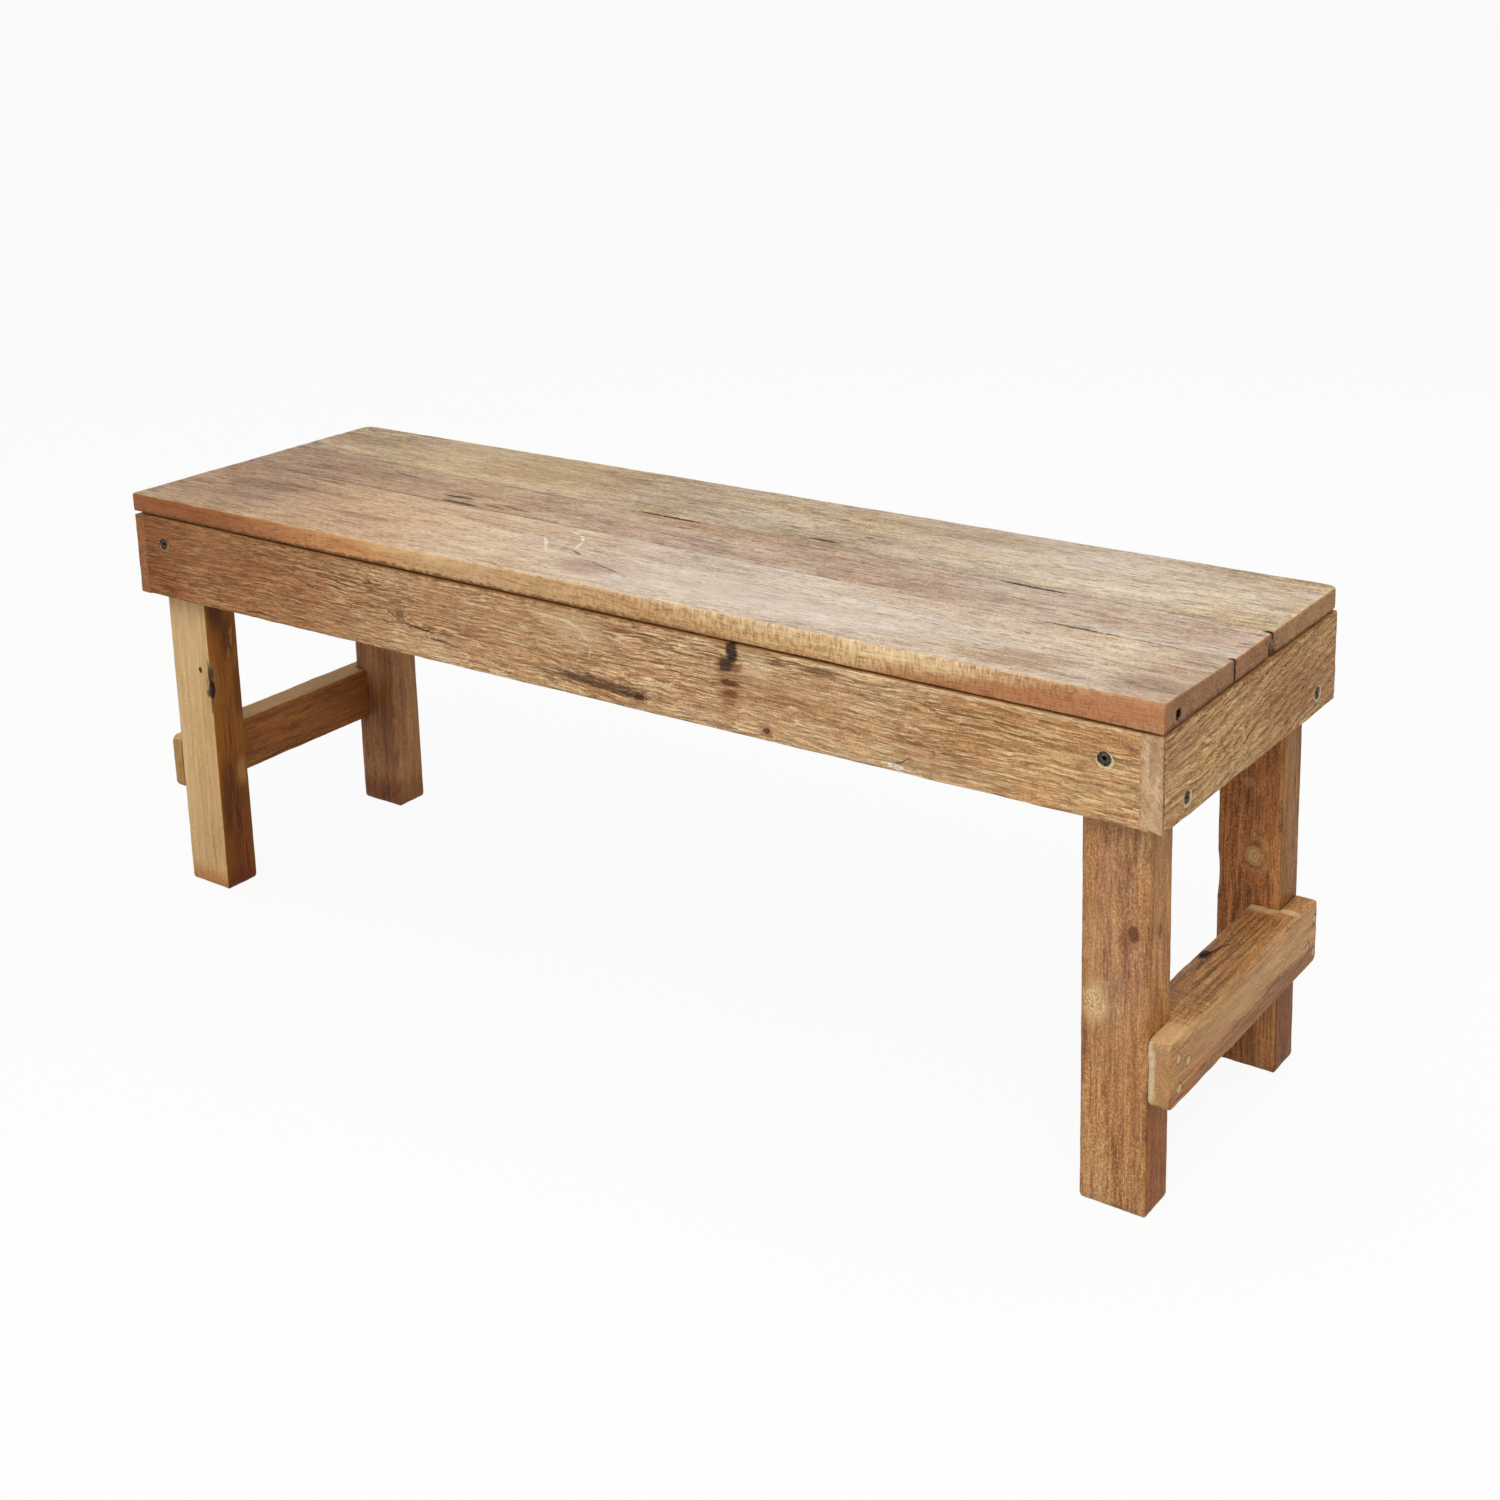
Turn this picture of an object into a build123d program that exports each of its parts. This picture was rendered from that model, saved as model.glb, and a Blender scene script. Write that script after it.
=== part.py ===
from build123d import *
import os

# A low bench in reclaimed wood: three seat planks on a box of four aprons,
# a leg in each corner of the box, and a half-lapped stretcher at each end.
# Millimetres. X runs along the bench, the front faces -Y and Z is up.
# The origin is on the floor, under the middle of the bench.

# Whole bench
bench_length = 1200
bench_depth = 350
seat_height = 450

# Seat planks: the boards taper, so the joints run a little out of square
plank_thickness = 20
front_plank_left_width = 153
front_plank_right_width = 128
middle_plank_left_width = 82
middle_plank_right_width = 75
plank_joint = 0.8
front_corner_rise = 4            # the front plank is thicker at its right front corner
seat_arris = 2.2                 # worn edges round the outside of the seat
back_left_corner_radius = 16     # corners of the seat, seen from above
back_right_corner_radius = 9
nail_hole_radius = 3.2           # old nail hole in the front plank's right end
nail_hole_depth = 18
nail_hole_inset = 26             # from the front edge of the plank
nail_hole_rise = 8               # above the underside of the plank
chip_radius = 6                  # broken corner beside the back joint, at the right end
chip_rise = 9                    # above the underside of the plank

# Aprons: the end aprons lap the ends of the long ones
shadow_gap = 3                   # between the seat and the aprons' top edges
long_apron_thickness = 22
left_apron_thickness = 16
right_apron_thickness = 20
front_left_apron_height = 87
front_right_apron_height = 79
back_apron_height = 82
long_apron_arris = 1.6
left_apron_arris = 3.5           # round the outer face, more worn than the right one's
right_apron_arris = 1.6

# Legs
leg_width = 60                   # along the bench
leg_depth = 41                   # across the bench
leg_arris = 2.5
foot_easing = 4.5                # rounding round the foot
wane_length = 56                 # hollow where the bark edge shows on one leg
wane_depth = 4
wane_height = 182                # middle of the hollow above the floor

# Stretchers: a tongue laps the legs' outer faces, a thicker middle fits between the legs
stretcher_height = 60
left_stretcher_bottom = 107
right_stretcher_bottom = 102
left_tongue_thickness = 15
right_tongue_thickness = 19
left_middle_thickness = 17
right_middle_thickness = 27
shoulder_clearance = 0.2         # between each shoulder and its leg
tongue_corner_radius = 7         # worn corners at the tongue's ends
stretcher_arris = 1.8

# Battens under the seat, one beside each pair of legs and one in the middle
batten_width = 40
batten_thickness = 22
batten_end_clearance = 0.5       # to the long aprons
batten_arris = 1

# Countersunk socket screws that hold the aprons to the legs
apron_screw_head_radius = 6
apron_screw_head_depth = 3.6
apron_screw_rim = 0.6            # straight edge round the head
apron_screw_shank_radius = 3.4
apron_screw_length = 56
apron_screw_sink = 0.7           # how far the head sits below the face of the board
socket_width = 4                 # across the flats
socket_depth = 3
long_screw_drop = 27             # below the top edge of the long aprons
end_screw_drop = 63              # the same in the end aprons, clear of the other screws

# Countersunk wood screws, hidden under plugs or under the seat
wood_screw_head_radius = 3.6
wood_screw_head_depth = 2.6
wood_screw_shank_radius = 2
stretcher_screw_length = 34
batten_screw_length = 62
seat_screw_length = 35
screw_tip = 4
screw_clearance = 0.1

# Pale wood plugs over the stretchers' screws
plug_radius = 4
plug_length = 5
plug_clearance = 0.05

# Places of the plugs, as shares of the leg's depth from its outer corner
# and shares of the stretcher's height
front_plug_shares = [(0.40, 0.67), (0.86, 0.50), (0.46, 0.22)]
back_plug_shares = [(0.50, 0.34), (0.16, 0.17), (0.16, 0.70)]
# Places of the seat screws, as shares of each plank's width over its batten
wide_plank_screw_shares = [0.32, 0.80]
narrow_plank_screw_shares = [0.50]

cut_overrun = 2                  # how far a cutter runs past the face that it enters

# Places that several pieces share
right_end = bench_length / 2
left_end = -right_end
back_edge = bench_depth / 2
front_edge = -back_edge
seat_underside = seat_height - plank_thickness
apron_top = seat_underside - shadow_gap
left_leg_face = left_end + left_apron_thickness
right_leg_face = right_end - right_apron_thickness
left_leg_inside = left_leg_face + leg_width
right_leg_inside = right_leg_face - leg_width
front_leg_face = front_edge + long_apron_thickness
back_leg_face = back_edge - long_apron_thickness
front_leg_inside = front_leg_face + leg_depth
back_leg_inside = back_leg_face - leg_depth
front_leg_middle = (front_leg_face + front_leg_inside) / 2
back_leg_middle = (back_leg_face + back_leg_inside) / 2
left_stretcher_face = left_leg_face - left_tongue_thickness
right_stretcher_face = right_leg_face + right_tongue_thickness
batten_bottom = seat_underside - batten_thickness
left_batten_x = left_leg_inside + batten_width / 2
right_batten_x = right_leg_inside - batten_width / 2


# Boards

def between(share, start, end):
    return start + share * (end - start)


def slab(corners, depth):
    # a board of even thickness, from the corners of one face and the vector to the other
    face = make_face(Polyline(*corners, close=True))
    return extrude(face, Vector(depth).length, dir=depth)


def block(x_span, y_span, z_span):
    # a square-cut block between two places along each axis, in either order
    middles = [(start + end) / 2 for start, end in (x_span, y_span, z_span)]
    sizes = [abs(end - start) for start, end in (x_span, y_span, z_span)]
    return Pos(*middles) * Box(*sizes)


# Fasteners: each one is drawn pointing down from its head at the origin

def turned(steps):
    # a turned shape from half of its outline, as steps of radius and height
    outline = Polyline(*[(radius, 0, height) for radius, height in steps], close=True)
    return revolve(make_face(outline), Axis.Z)


def round_bar(radius, length, start=0):
    return Pos(0, 0, start) * Cylinder(radius, length, align=(Align.CENTER, Align.CENTER, Align.MAX))


def apron_screw(grow=0):
    # grown by the clearance, the same shape cuts its own hole
    return Pos(0, 0, -apron_screw_sink) * turned([
        (0, grow),
        (apron_screw_head_radius + grow, grow),
        (apron_screw_head_radius + grow, -apron_screw_rim),
        (apron_screw_shank_radius + grow, -apron_screw_head_depth),
        (apron_screw_shank_radius + grow, screw_tip - apron_screw_length),
        (0, -apron_screw_length - grow),
    ])


def socketed_apron_screw():
    flats = RegularPolygon(socket_width / 2, 6, major_radius=False)
    return apron_screw() - Pos(0, 0, -apron_screw_sink) * extrude(flats, -socket_depth)


def apron_screw_hole():
    mouth = round_bar(apron_screw_head_radius + screw_clearance, cut_overrun + apron_screw_sink, cut_overrun)
    return apron_screw(screw_clearance) + mouth


def wood_screw(length, sink=0, grow=0):
    return Pos(0, 0, -sink) * turned([
        (0, grow),
        (wood_screw_head_radius + grow, grow),
        (wood_screw_shank_radius + grow, -wood_screw_head_depth),
        (wood_screw_shank_radius + grow, screw_tip - length),
        (0, -length - grow),
    ])


def wood_screw_hole(length):
    mouth = round_bar(wood_screw_head_radius + screw_clearance, cut_overrun, cut_overrun)
    return wood_screw(length, 0, screw_clearance) + mouth


def plugged_screw_hole():
    plug_room = round_bar(plug_radius + plug_clearance, cut_overrun + plug_length, cut_overrun)
    return wood_screw(stretcher_screw_length, plug_length, screw_clearance) + plug_room


def facing(x, y, z, direction):
    # the place of a screw's head and the way that it faces
    return Plane(origin=(x, y, z), z_dir=direction)


def apron_screw_places():
    places = []
    height = apron_top - long_screw_drop
    for x in (left_leg_face + leg_width / 2, right_leg_face - leg_width / 2):
        places.append(facing(x, front_edge, height, (0, -1, 0)))
        places.append(facing(x, back_edge, height, (0, 1, 0)))
    height = apron_top - end_screw_drop
    for y in (front_leg_middle, back_leg_middle):
        places.append(facing(left_end, y, height, (-1, 0, 0)))
        places.append(facing(right_end, y, height, (1, 0, 0)))
    return places


def stretcher_screw_places():
    places = []
    for face, bottom, outward in (
            (left_stretcher_face, left_stretcher_bottom, (-1, 0, 0)),
            (right_stretcher_face, right_stretcher_bottom, (1, 0, 0))):
        for leg_outside, leg_inside, shares in (
                (front_leg_face, front_leg_inside, front_plug_shares),
                (back_leg_face, back_leg_inside, back_plug_shares)):
            for depth_share, height_share in shares:
                y = between(depth_share, leg_outside, leg_inside)
                places.append(facing(face, y, bottom + height_share * stretcher_height, outward))
    return places


def batten_screw_places():
    places = []
    height = batten_bottom + batten_thickness / 2
    for y in (front_leg_middle, back_leg_middle):
        places.append(facing(left_leg_inside + batten_width, y, height, (1, 0, 0)))
        places.append(facing(right_leg_inside - batten_width, y, height, (-1, 0, 0)))
    return places


def joints_at(x):
    # where the front edges of the seat's two joints lie, this far along the bench
    share = (x - left_end) / bench_length
    front_joint = front_edge + between(share, front_plank_left_width, front_plank_right_width)
    middle_width = between(share, middle_plank_left_width, middle_plank_right_width)
    return front_joint, front_joint + plank_joint + middle_width


def seat_screw_places():
    places = []
    for x in (left_batten_x, 0, right_batten_x):
        front_joint, back_joint = joints_at(x)
        for start, end, shares in (
                (front_leg_face, front_joint, wide_plank_screw_shares),
                (front_joint + plank_joint, back_joint, narrow_plank_screw_shares),
                (back_leg_face, back_joint + plank_joint, wide_plank_screw_shares)):
            for share in shares:
                places.append(facing(x, between(share, start, end), batten_bottom, (0, 0, -1)))
    return places


def at_places(piece, places):
    return [place * piece for place in places]


def without(piece, cutters):
    # cuts only the holes that reach this piece
    room = piece.bounding_box()
    reaching = [cutter for cutter in cutters if room.overlaps(cutter.bounding_box())]
    return piece - reaching if reaching else piece


# Seat

def tapered_outline(left_front, left_back, right_front, right_back):
    return [
        (left_end, left_front, seat_underside),
        (right_end, right_front, seat_underside),
        (right_end, right_back, seat_underside),
        (left_end, left_back, seat_underside),
    ]


def plank_end(x, front, back, front_top):
    return make_face(Polyline(
        (x, front, seat_underside), (x, back, seat_underside),
        (x, back, seat_height), (x, front, front_top), close=True))


def long_edges(piece):
    return piece.edges().sort_by(SortBy.LENGTH)[-4:].sort_by(Axis.Y)


def ease_all_but(piece, kept_edges, radius):
    return fillet([edge for edge in piece.edges() if edge not in kept_edges], radius)


def make_seat_plank_front():
    # its top twists, because the board is thicker at one corner
    plank = loft([
        plank_end(left_end, front_edge, joints_at(left_end)[0], seat_height),
        plank_end(right_end, front_edge, joints_at(right_end)[0], seat_height + front_corner_rise),
    ], ruled=True)
    plank = ease_all_but(plank, long_edges(plank)[2:], seat_arris)
    mouth = facing(right_end, front_edge + nail_hole_inset, seat_underside + nail_hole_rise, (1, 0, 0))
    return plank - mouth * round_bar(nail_hole_radius, cut_overrun + nail_hole_depth, cut_overrun)


def make_seat_plank_middle():
    left_front, left_back = joints_at(left_end)
    right_front, right_back = joints_at(right_end)
    outline = tapered_outline(left_front + plank_joint, left_back, right_front + plank_joint, right_back)
    plank = slab(outline, (0, 0, plank_thickness))
    return ease_all_but(plank, long_edges(plank), seat_arris)


def make_seat_plank_back():
    left_front = joints_at(left_end)[1] + plank_joint
    right_front = joints_at(right_end)[1] + plank_joint
    outline = tapered_outline(left_front, back_edge, right_front, back_edge)
    plank = slab(outline, (0, 0, plank_thickness))
    for end, radius in ((0, back_left_corner_radius), (-1, back_right_corner_radius)):
        upright_edges = plank.edges().filter_by(Axis.Z).group_by(Axis.Y)[-1]
        plank = fillet(upright_edges.sort_by(Axis.X)[end], radius)
    plank = ease_all_but(plank, long_edges(plank)[:2], seat_arris)
    return plank - Pos(right_end, right_front, seat_underside + chip_rise) * Sphere(chip_radius)


# Aprons

def make_long_apron(outside, inside, left_height, right_height):
    side = [
        (left_leg_face, outside, apron_top - left_height),
        (right_leg_face, outside, apron_top - right_height),
        (right_leg_face, outside, apron_top),
        (left_leg_face, outside, apron_top),
    ]
    apron = slab(side, (0, inside - outside, 0))
    return fillet(long_edges(apron), long_apron_arris)


def make_end_apron(outside, inside, front_height, arris):
    side = [
        (outside, front_edge, apron_top - front_height),
        (outside, back_edge, apron_top - back_apron_height),
        (outside, back_edge, apron_top),
        (outside, front_edge, apron_top),
    ]
    apron = slab(side, (inside - outside, 0, 0))
    outer_edges = apron.edges().group_by(lambda edge: abs(edge.center().X - outside))[0]
    return fillet(outer_edges, arris)


# Legs

def make_leg(outside, inside, front, back):
    leg = block((outside, inside), (front, back), (0, seat_underside))
    leg = fillet(leg.faces().sort_by(Axis.Z)[0].edges(), foot_easing)
    return fillet(leg.edges().filter_by(Axis.Z), leg_arris)


def wane():
    # a long shallow hollow along the front inner arris of the back right leg
    radius = (wane_length / 2) ** 2 / (2 * wane_depth) + wane_depth / 2
    arris = Vector(right_leg_inside, back_leg_inside, wane_height)
    middle = arris + Vector(-1, -1, 0).normalized() * (radius - wane_depth)
    return Plane(origin=middle, z_dir=(1, -1, 0)) * Cylinder(radius, leg_depth)


# Stretchers

def make_stretcher(leg_face, outer_face, middle_thickness, bottom):
    height = (bottom, bottom + stretcher_height)
    outer, inner = (-1, 0) if outer_face > leg_face else (0, -1)
    tongue = block((leg_face, outer_face), (front_leg_face, back_leg_face), height)
    tongue = fillet(tongue.edges().filter_by(Axis.X), tongue_corner_radius)
    tongue = fillet(tongue.faces().sort_by(Axis.X)[outer].edges(), stretcher_arris)
    shoulders = (front_leg_inside + shoulder_clearance, back_leg_inside - shoulder_clearance)
    inner_face = leg_face + (middle_thickness if outer_face < leg_face else -middle_thickness)
    middle = block((leg_face, inner_face), shoulders, height)
    middle = fillet(middle.faces().sort_by(Axis.X)[inner].edges().filter_by(Axis.Y), stretcher_arris)
    return tongue + middle


# Battens

def make_batten(x):
    half_width = batten_width / 2
    ends = (front_leg_face + batten_end_clearance, back_leg_face - batten_end_clearance)
    batten = block((x - half_width, x + half_width), ends, (batten_bottom, seat_underside))
    return fillet(batten.edges().filter_by(Axis.Y), batten_arris)


def make_boards():
    return {
        "seat_plank_front": make_seat_plank_front(),
        "seat_plank_middle": make_seat_plank_middle(),
        "seat_plank_back": make_seat_plank_back(),
        "front_apron": make_long_apron(
            front_edge, front_leg_face, front_left_apron_height, front_right_apron_height),
        "back_apron": make_long_apron(back_edge, back_leg_face, back_apron_height, back_apron_height),
        "left_end_apron": make_end_apron(
            left_end, left_leg_face, front_left_apron_height, left_apron_arris),
        "right_end_apron": make_end_apron(
            right_end, right_leg_face, front_right_apron_height, right_apron_arris),
        "front_left_leg": make_leg(left_leg_face, left_leg_inside, front_leg_face, front_leg_inside),
        "back_left_leg": make_leg(left_leg_face, left_leg_inside, back_leg_inside, back_leg_face),
        "front_right_leg": make_leg(right_leg_face, right_leg_inside, front_leg_face, front_leg_inside),
        "back_right_leg": make_leg(right_leg_face, right_leg_inside, back_leg_inside, back_leg_face) - wane(),
        "left_stretcher": make_stretcher(
            left_leg_face, left_stretcher_face, left_middle_thickness, left_stretcher_bottom),
        "right_stretcher": make_stretcher(
            right_leg_face, right_stretcher_face, right_middle_thickness, right_stretcher_bottom),
        "left_seat_batten": make_batten(left_batten_x),
        "centre_seat_batten": make_batten(0),
        "right_seat_batten": make_batten(right_batten_x),
    }


def make_screw_holes():
    return (
        at_places(apron_screw_hole(), apron_screw_places())
        + at_places(plugged_screw_hole(), stretcher_screw_places())
        + at_places(wood_screw_hole(batten_screw_length), batten_screw_places())
        + at_places(wood_screw_hole(seat_screw_length), seat_screw_places()))


def make_fasteners():
    return {
        "apron_screws": at_places(socketed_apron_screw(), apron_screw_places()),
        "stretcher_screws": at_places(
            wood_screw(stretcher_screw_length, plug_length), stretcher_screw_places()),
        "stretcher_plugs": at_places(round_bar(plug_radius, plug_length), stretcher_screw_places()),
        "batten_screws": at_places(wood_screw(batten_screw_length), batten_screw_places()),
        "seat_screws": at_places(wood_screw(seat_screw_length), seat_screw_places()),
    }


os.makedirs("parts", exist_ok=True)
screw_holes = make_screw_holes()
for name, piece in make_boards().items():
    export_step(without(piece, screw_holes), f"parts/{name}.step")
for name, pieces in make_fasteners().items():
    export_step(Compound(children=pieces), f"parts/{name}.step")
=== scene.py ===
import bpy
import bmesh
import math
import random
from mathutils import Matrix, Vector


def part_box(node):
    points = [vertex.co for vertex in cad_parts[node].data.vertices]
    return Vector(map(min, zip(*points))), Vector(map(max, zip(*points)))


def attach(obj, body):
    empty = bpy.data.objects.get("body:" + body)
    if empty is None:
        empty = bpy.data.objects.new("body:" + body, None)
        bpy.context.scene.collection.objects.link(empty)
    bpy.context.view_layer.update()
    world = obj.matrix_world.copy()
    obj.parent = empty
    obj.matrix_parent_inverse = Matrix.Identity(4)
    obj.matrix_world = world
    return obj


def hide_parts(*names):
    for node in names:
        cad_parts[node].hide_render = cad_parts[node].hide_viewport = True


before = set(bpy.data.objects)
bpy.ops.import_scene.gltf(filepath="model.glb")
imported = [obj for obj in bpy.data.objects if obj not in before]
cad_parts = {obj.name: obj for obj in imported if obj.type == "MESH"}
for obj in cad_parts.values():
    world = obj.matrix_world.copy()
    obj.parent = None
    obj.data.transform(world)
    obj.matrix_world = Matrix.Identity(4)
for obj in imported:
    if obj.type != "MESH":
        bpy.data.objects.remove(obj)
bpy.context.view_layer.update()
random.seed(7)
mm = .001
top, front, back, right, left = (0, 0, 1), (0, -1, 0), (0, 1, 0), (1, 0, 0), (-1, 0, 0)
print("frame loaded,", len(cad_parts), "nodes")


# small helpers for working by hand in object and edit mode

def deselectAll():
    if bpy.context.object and bpy.context.object.mode != "OBJECT":
        bpy.ops.object.mode_set(mode="OBJECT")
    bpy.ops.object.select_all(action="DESELECT")


def makeActive(piece):
    deselectAll()
    piece.select_set(True)
    bpy.context.view_layer.objects.active = piece


def setPlace(piece):
    # the place goes into the mesh, so that the object sits at the origin
    makeActive(piece)
    bpy.ops.object.transform_apply(location=True, rotation=True, scale=True)


def newPiece(name):
    # takes up the primitive that was just added
    piece = bpy.context.object
    piece.name = name
    piece.data.name = name
    setPlace(piece)
    return piece


def startEdit(piece, mode):
    makeActive(piece)
    bpy.ops.object.mode_set(mode="EDIT")
    bpy.ops.mesh.select_mode(type=mode)
    bpy.ops.mesh.select_all(action="DESELECT")


def endEdit():
    bpy.ops.object.mode_set(mode="OBJECT")


def pick(piece, mode, test):
    # selects the vertices, edges or faces that pass a test of place or normal
    startEdit(piece, mode)
    mesh = bmesh.from_edit_mesh(piece.data)
    parts = {"VERT": mesh.verts, "EDGE": mesh.edges, "FACE": mesh.faces}[mode]
    for part in parts:
        part.select = bool(test(part))
    mesh.select_flush_mode()
    bmesh.update_edit_mesh(piece.data)


def edgeMiddle(edge):
    return (edge.verts[0].co + edge.verts[1].co) / 2


def edgeWay(edge):
    return (edge.verts[1].co - edge.verts[0].co).normalized()


def onSide(point, low, high, sides, slack=2 * mm):
    # sides is -1, 0 or 1 for each axis: low side, anywhere, high side
    for axis, side in enumerate(sides):
        if side < 0 and point[axis] > low[axis] + slack:
            return False
        if side > 0 and point[axis] < high[axis] - slack:
            return False
    return True


def cutAcross(piece, axis, rounds, shortest=4.2 * mm, alongAxis=.97):
    # cuts the long edges that run along an axis into even lengths
    for cuts in rounds:
        pick(piece, "EDGE", lambda edge: abs(edgeWay(edge)[axis]) > alongAxis and edge.calc_length() > shortest)
        bpy.ops.mesh.subdivide(number_cuts=cuts)
        endEdit()


def addCut(piece, cutter):
    modifier = piece.modifiers.new("cut", "BOOLEAN")
    modifier.operation = "DIFFERENCE"
    modifier.solver = "MANIFOLD"
    modifier.object = cutter


def applyModifiers(piece):
    makeActive(piece)
    for modifier in list(piece.modifiers):
        bpy.ops.object.modifier_apply(modifier=modifier.name)


def storeWear(piece, values):
    # a number for each vertex, which the materials read
    attribute = piece.data.attributes.new("arrisWear", "FLOAT", "POINT")
    attribute.data.foreach_set("value", values)


def finishPiece(piece, node, material, smoothAngle=35):
    makeActive(piece)
    bpy.ops.object.shade_smooth_by_angle(angle=math.radians(smoothAngle))
    piece.data.materials.clear()
    piece.data.materials.append(material)
    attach(piece, "root")
    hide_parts(node)
    print("  ", piece.name, len(piece.data.polygons), "faces")


# relief: displacement textures, stretched along the grain by an empty

def addGuides(name, stretch):
    # one empty for each way that the grain can run
    guides = []
    for axis, letter in enumerate("XYZ"):
        deselectAll()
        bpy.ops.object.empty_add(location=(0, 0, 0))
        guides.append(bpy.context.object)
        guides[axis].name = name + letter
        guides[axis].scale[axis] = stretch
    return guides


def addClouds(name, size, depth, contrast=1.0, brightness=1.0):
    texture = bpy.data.textures.new(name, "CLOUDS")
    texture.intensity = brightness
    texture.noise_scale = size
    texture.noise_depth = depth
    texture.contrast = contrast
    return texture


def addRelief(piece, texture, guide, strength, direction="NORMAL", level=.5, group=""):
    modifier = piece.modifiers.new("relief", "DISPLACE")
    modifier.texture = texture
    modifier.texture_coords = "OBJECT"
    modifier.texture_coords_object = guide
    modifier.strength = strength
    modifier.mid_level = level
    modifier.direction = direction
    modifier.vertex_group = group


grainGuides, swellGuides, nickGuides = addGuides("guide", 14), addGuides("swell", 3), addGuides("nick", 2.2)
brushClouds = addClouds("brushClouds", .0032, 3, 1.3)
swellClouds = addClouds("swellClouds", .14, 1)
nickClouds = addClouds("nickClouds", .013, 4, 2.6, 1.25)


def markArris(piece, flat=.985):
    # the rounded arrises go into a vertex group, by their slanting normals
    pick(piece, "FACE", lambda face: max(abs(part) for part in face.normal) < flat)
    group = piece.vertex_groups.new(name="arris")
    piece.vertex_groups.active_index = group.index
    bpy.context.scene.tool_settings.vertex_group_weight = 1
    bpy.ops.object.vertex_group_assign()
    endEdit()


def storeArris(piece):
    # the same weights as a mesh attribute
    index = piece.vertex_groups["arris"].index
    weights = [0.0] * len(piece.data.vertices)
    for vertex in piece.data.vertices:
        for entry in vertex.groups:
            if entry.group == index:
                weights[vertex.index] = entry.weight
    storeWear(piece, weights)
    piece.vertex_groups.clear()


def roundCorner(piece, corner, radius, axes):
    # a square corner, seen along the third axis, is drawn in onto an arc
    startEdit(piece, "VERT")
    mesh = bmesh.from_edit_mesh(piece.data)
    reaches = [[vert.co[axis] for vert in mesh.verts] for axis in axes]
    ways = [1 if place > (min(reach) + max(reach)) / 2 else -1 for place, reach in zip(corner, reaches)]
    for vert in mesh.verts:
        out = [(vert.co[axis] - (corner[i] - ways[i] * radius)) * ways[i] for i, axis in enumerate(axes)]
        if min(out) > 0:
            pull = max(out) / math.hypot(*out)
            for i, axis in enumerate(axes):
                vert.co[axis] = corner[i] - ways[i] * radius + out[i] * pull * ways[i]
    bmesh.update_edit_mesh(piece.data)
    endEdit()


# tools: places and sizes in mm, cut from a board by a boolean

def cutHole(tool):
    # a round peg, standing 10 mm out of the face
    depth, out = tool["depth"] * mm, 10 * mm
    way = Vector(tool["way"])
    bpy.ops.mesh.primitive_cylinder_add(
        vertices=32, radius=tool["radius"] * mm, depth=depth + 2 * out,
        location=Vector(tool["at"]) * mm + way * (out - depth / 2), rotation=way.to_track_quat("Z", "Y").to_euler())
    return newPiece("cutter")


def cutChip(tool, rough=.12):
    # an uneven lump, for broken corners
    place = Vector(tool["at"]) * mm
    bpy.ops.mesh.primitive_ico_sphere_add(subdivisions=3, radius=tool["radius"] * mm, location=place)
    cutter = newPiece("cutter")
    startEdit(cutter, "VERT")
    bpy.ops.mesh.select_all(action="SELECT")
    bpy.ops.transform.resize(value=tool["stretch"], center_override=place)
    bpy.ops.transform.vertex_random(offset=tool["radius"] * rough * mm, seed=tool["seed"])
    endEdit()
    return cutter


def cutNotch(tool):
    # a rough square pocket
    bpy.ops.mesh.primitive_cube_add(
        size=1, location=Vector(tool["at"]) * mm, scale=[part * mm for part in tool["size"]])
    cutter = newPiece("cutter")
    startEdit(cutter, "VERT")
    bpy.ops.mesh.select_all(action="SELECT")
    bpy.ops.mesh.subdivide(number_cuts=2)
    bpy.ops.transform.vertex_random(offset=tool["rough"] * mm, seed=tool["seed"])
    endEdit()
    return cutter


def cutCrack(tool, rough=.35):
    # a sliver along a line in a top face, running out at both ends
    start, end = Vector(tool["start"]) * mm, Vector(tool["end"]) * mm
    run = end - start
    bpy.ops.mesh.primitive_cube_add(
        size=1, location=(0, 0, 0), scale=(run.length, tool["width"] * mm, tool["depth"] * 2 * mm))
    cutter = newPiece("cutter")
    pick(cutter, "EDGE", lambda edge: abs(edgeWay(edge).x) > .9)
    bpy.ops.mesh.subdivide(number_cuts=9)
    endEdit()
    for side in (-1, 1):
        pick(cutter, "VERT", lambda vert: vert.co.x * side > run.length * .49)
        bpy.ops.transform.resize(value=(1, .08, .3))
        endEdit()
    pick(cutter, "VERT", lambda vert: abs(vert.co.x) < run.length * .46)
    bpy.ops.transform.vertex_random(offset=tool["width"] * rough * mm, seed=tool["seed"])
    endEdit()
    xAxis = run.normalized()
    yAxis = Vector(top).cross(xAxis).normalized()
    cutter.rotation_mode = "QUATERNION"
    cutter.rotation_quaternion = Matrix((xAxis, yAxis, xAxis.cross(yAxis))).transposed().to_quaternion()
    cutter.location = (start + end) / 2
    setPlace(cutter)
    return cutter


def cutHollow(tool):
    # a wide roller, for a long shallow hollow in an arris
    inward = Vector(tool["way"]).normalized()
    radius = (tool["length"] / 2) ** 2 / (2 * tool["depth"]) + tool["depth"] / 2
    bpy.ops.mesh.primitive_cylinder_add(
        vertices=160, radius=radius * mm, depth=45 * mm,
        location=(Vector(tool["at"]) - inward * (radius - tool["depth"])) * mm,
        rotation=Vector(tool["roller"]).to_track_quat("Z", "Y").to_euler())
    return newPiece("cutter")


def hole(at, way, radius, depth):
    return {"cut": cutHole, "at": at, "way": way, "radius": radius, "depth": depth}


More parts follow.
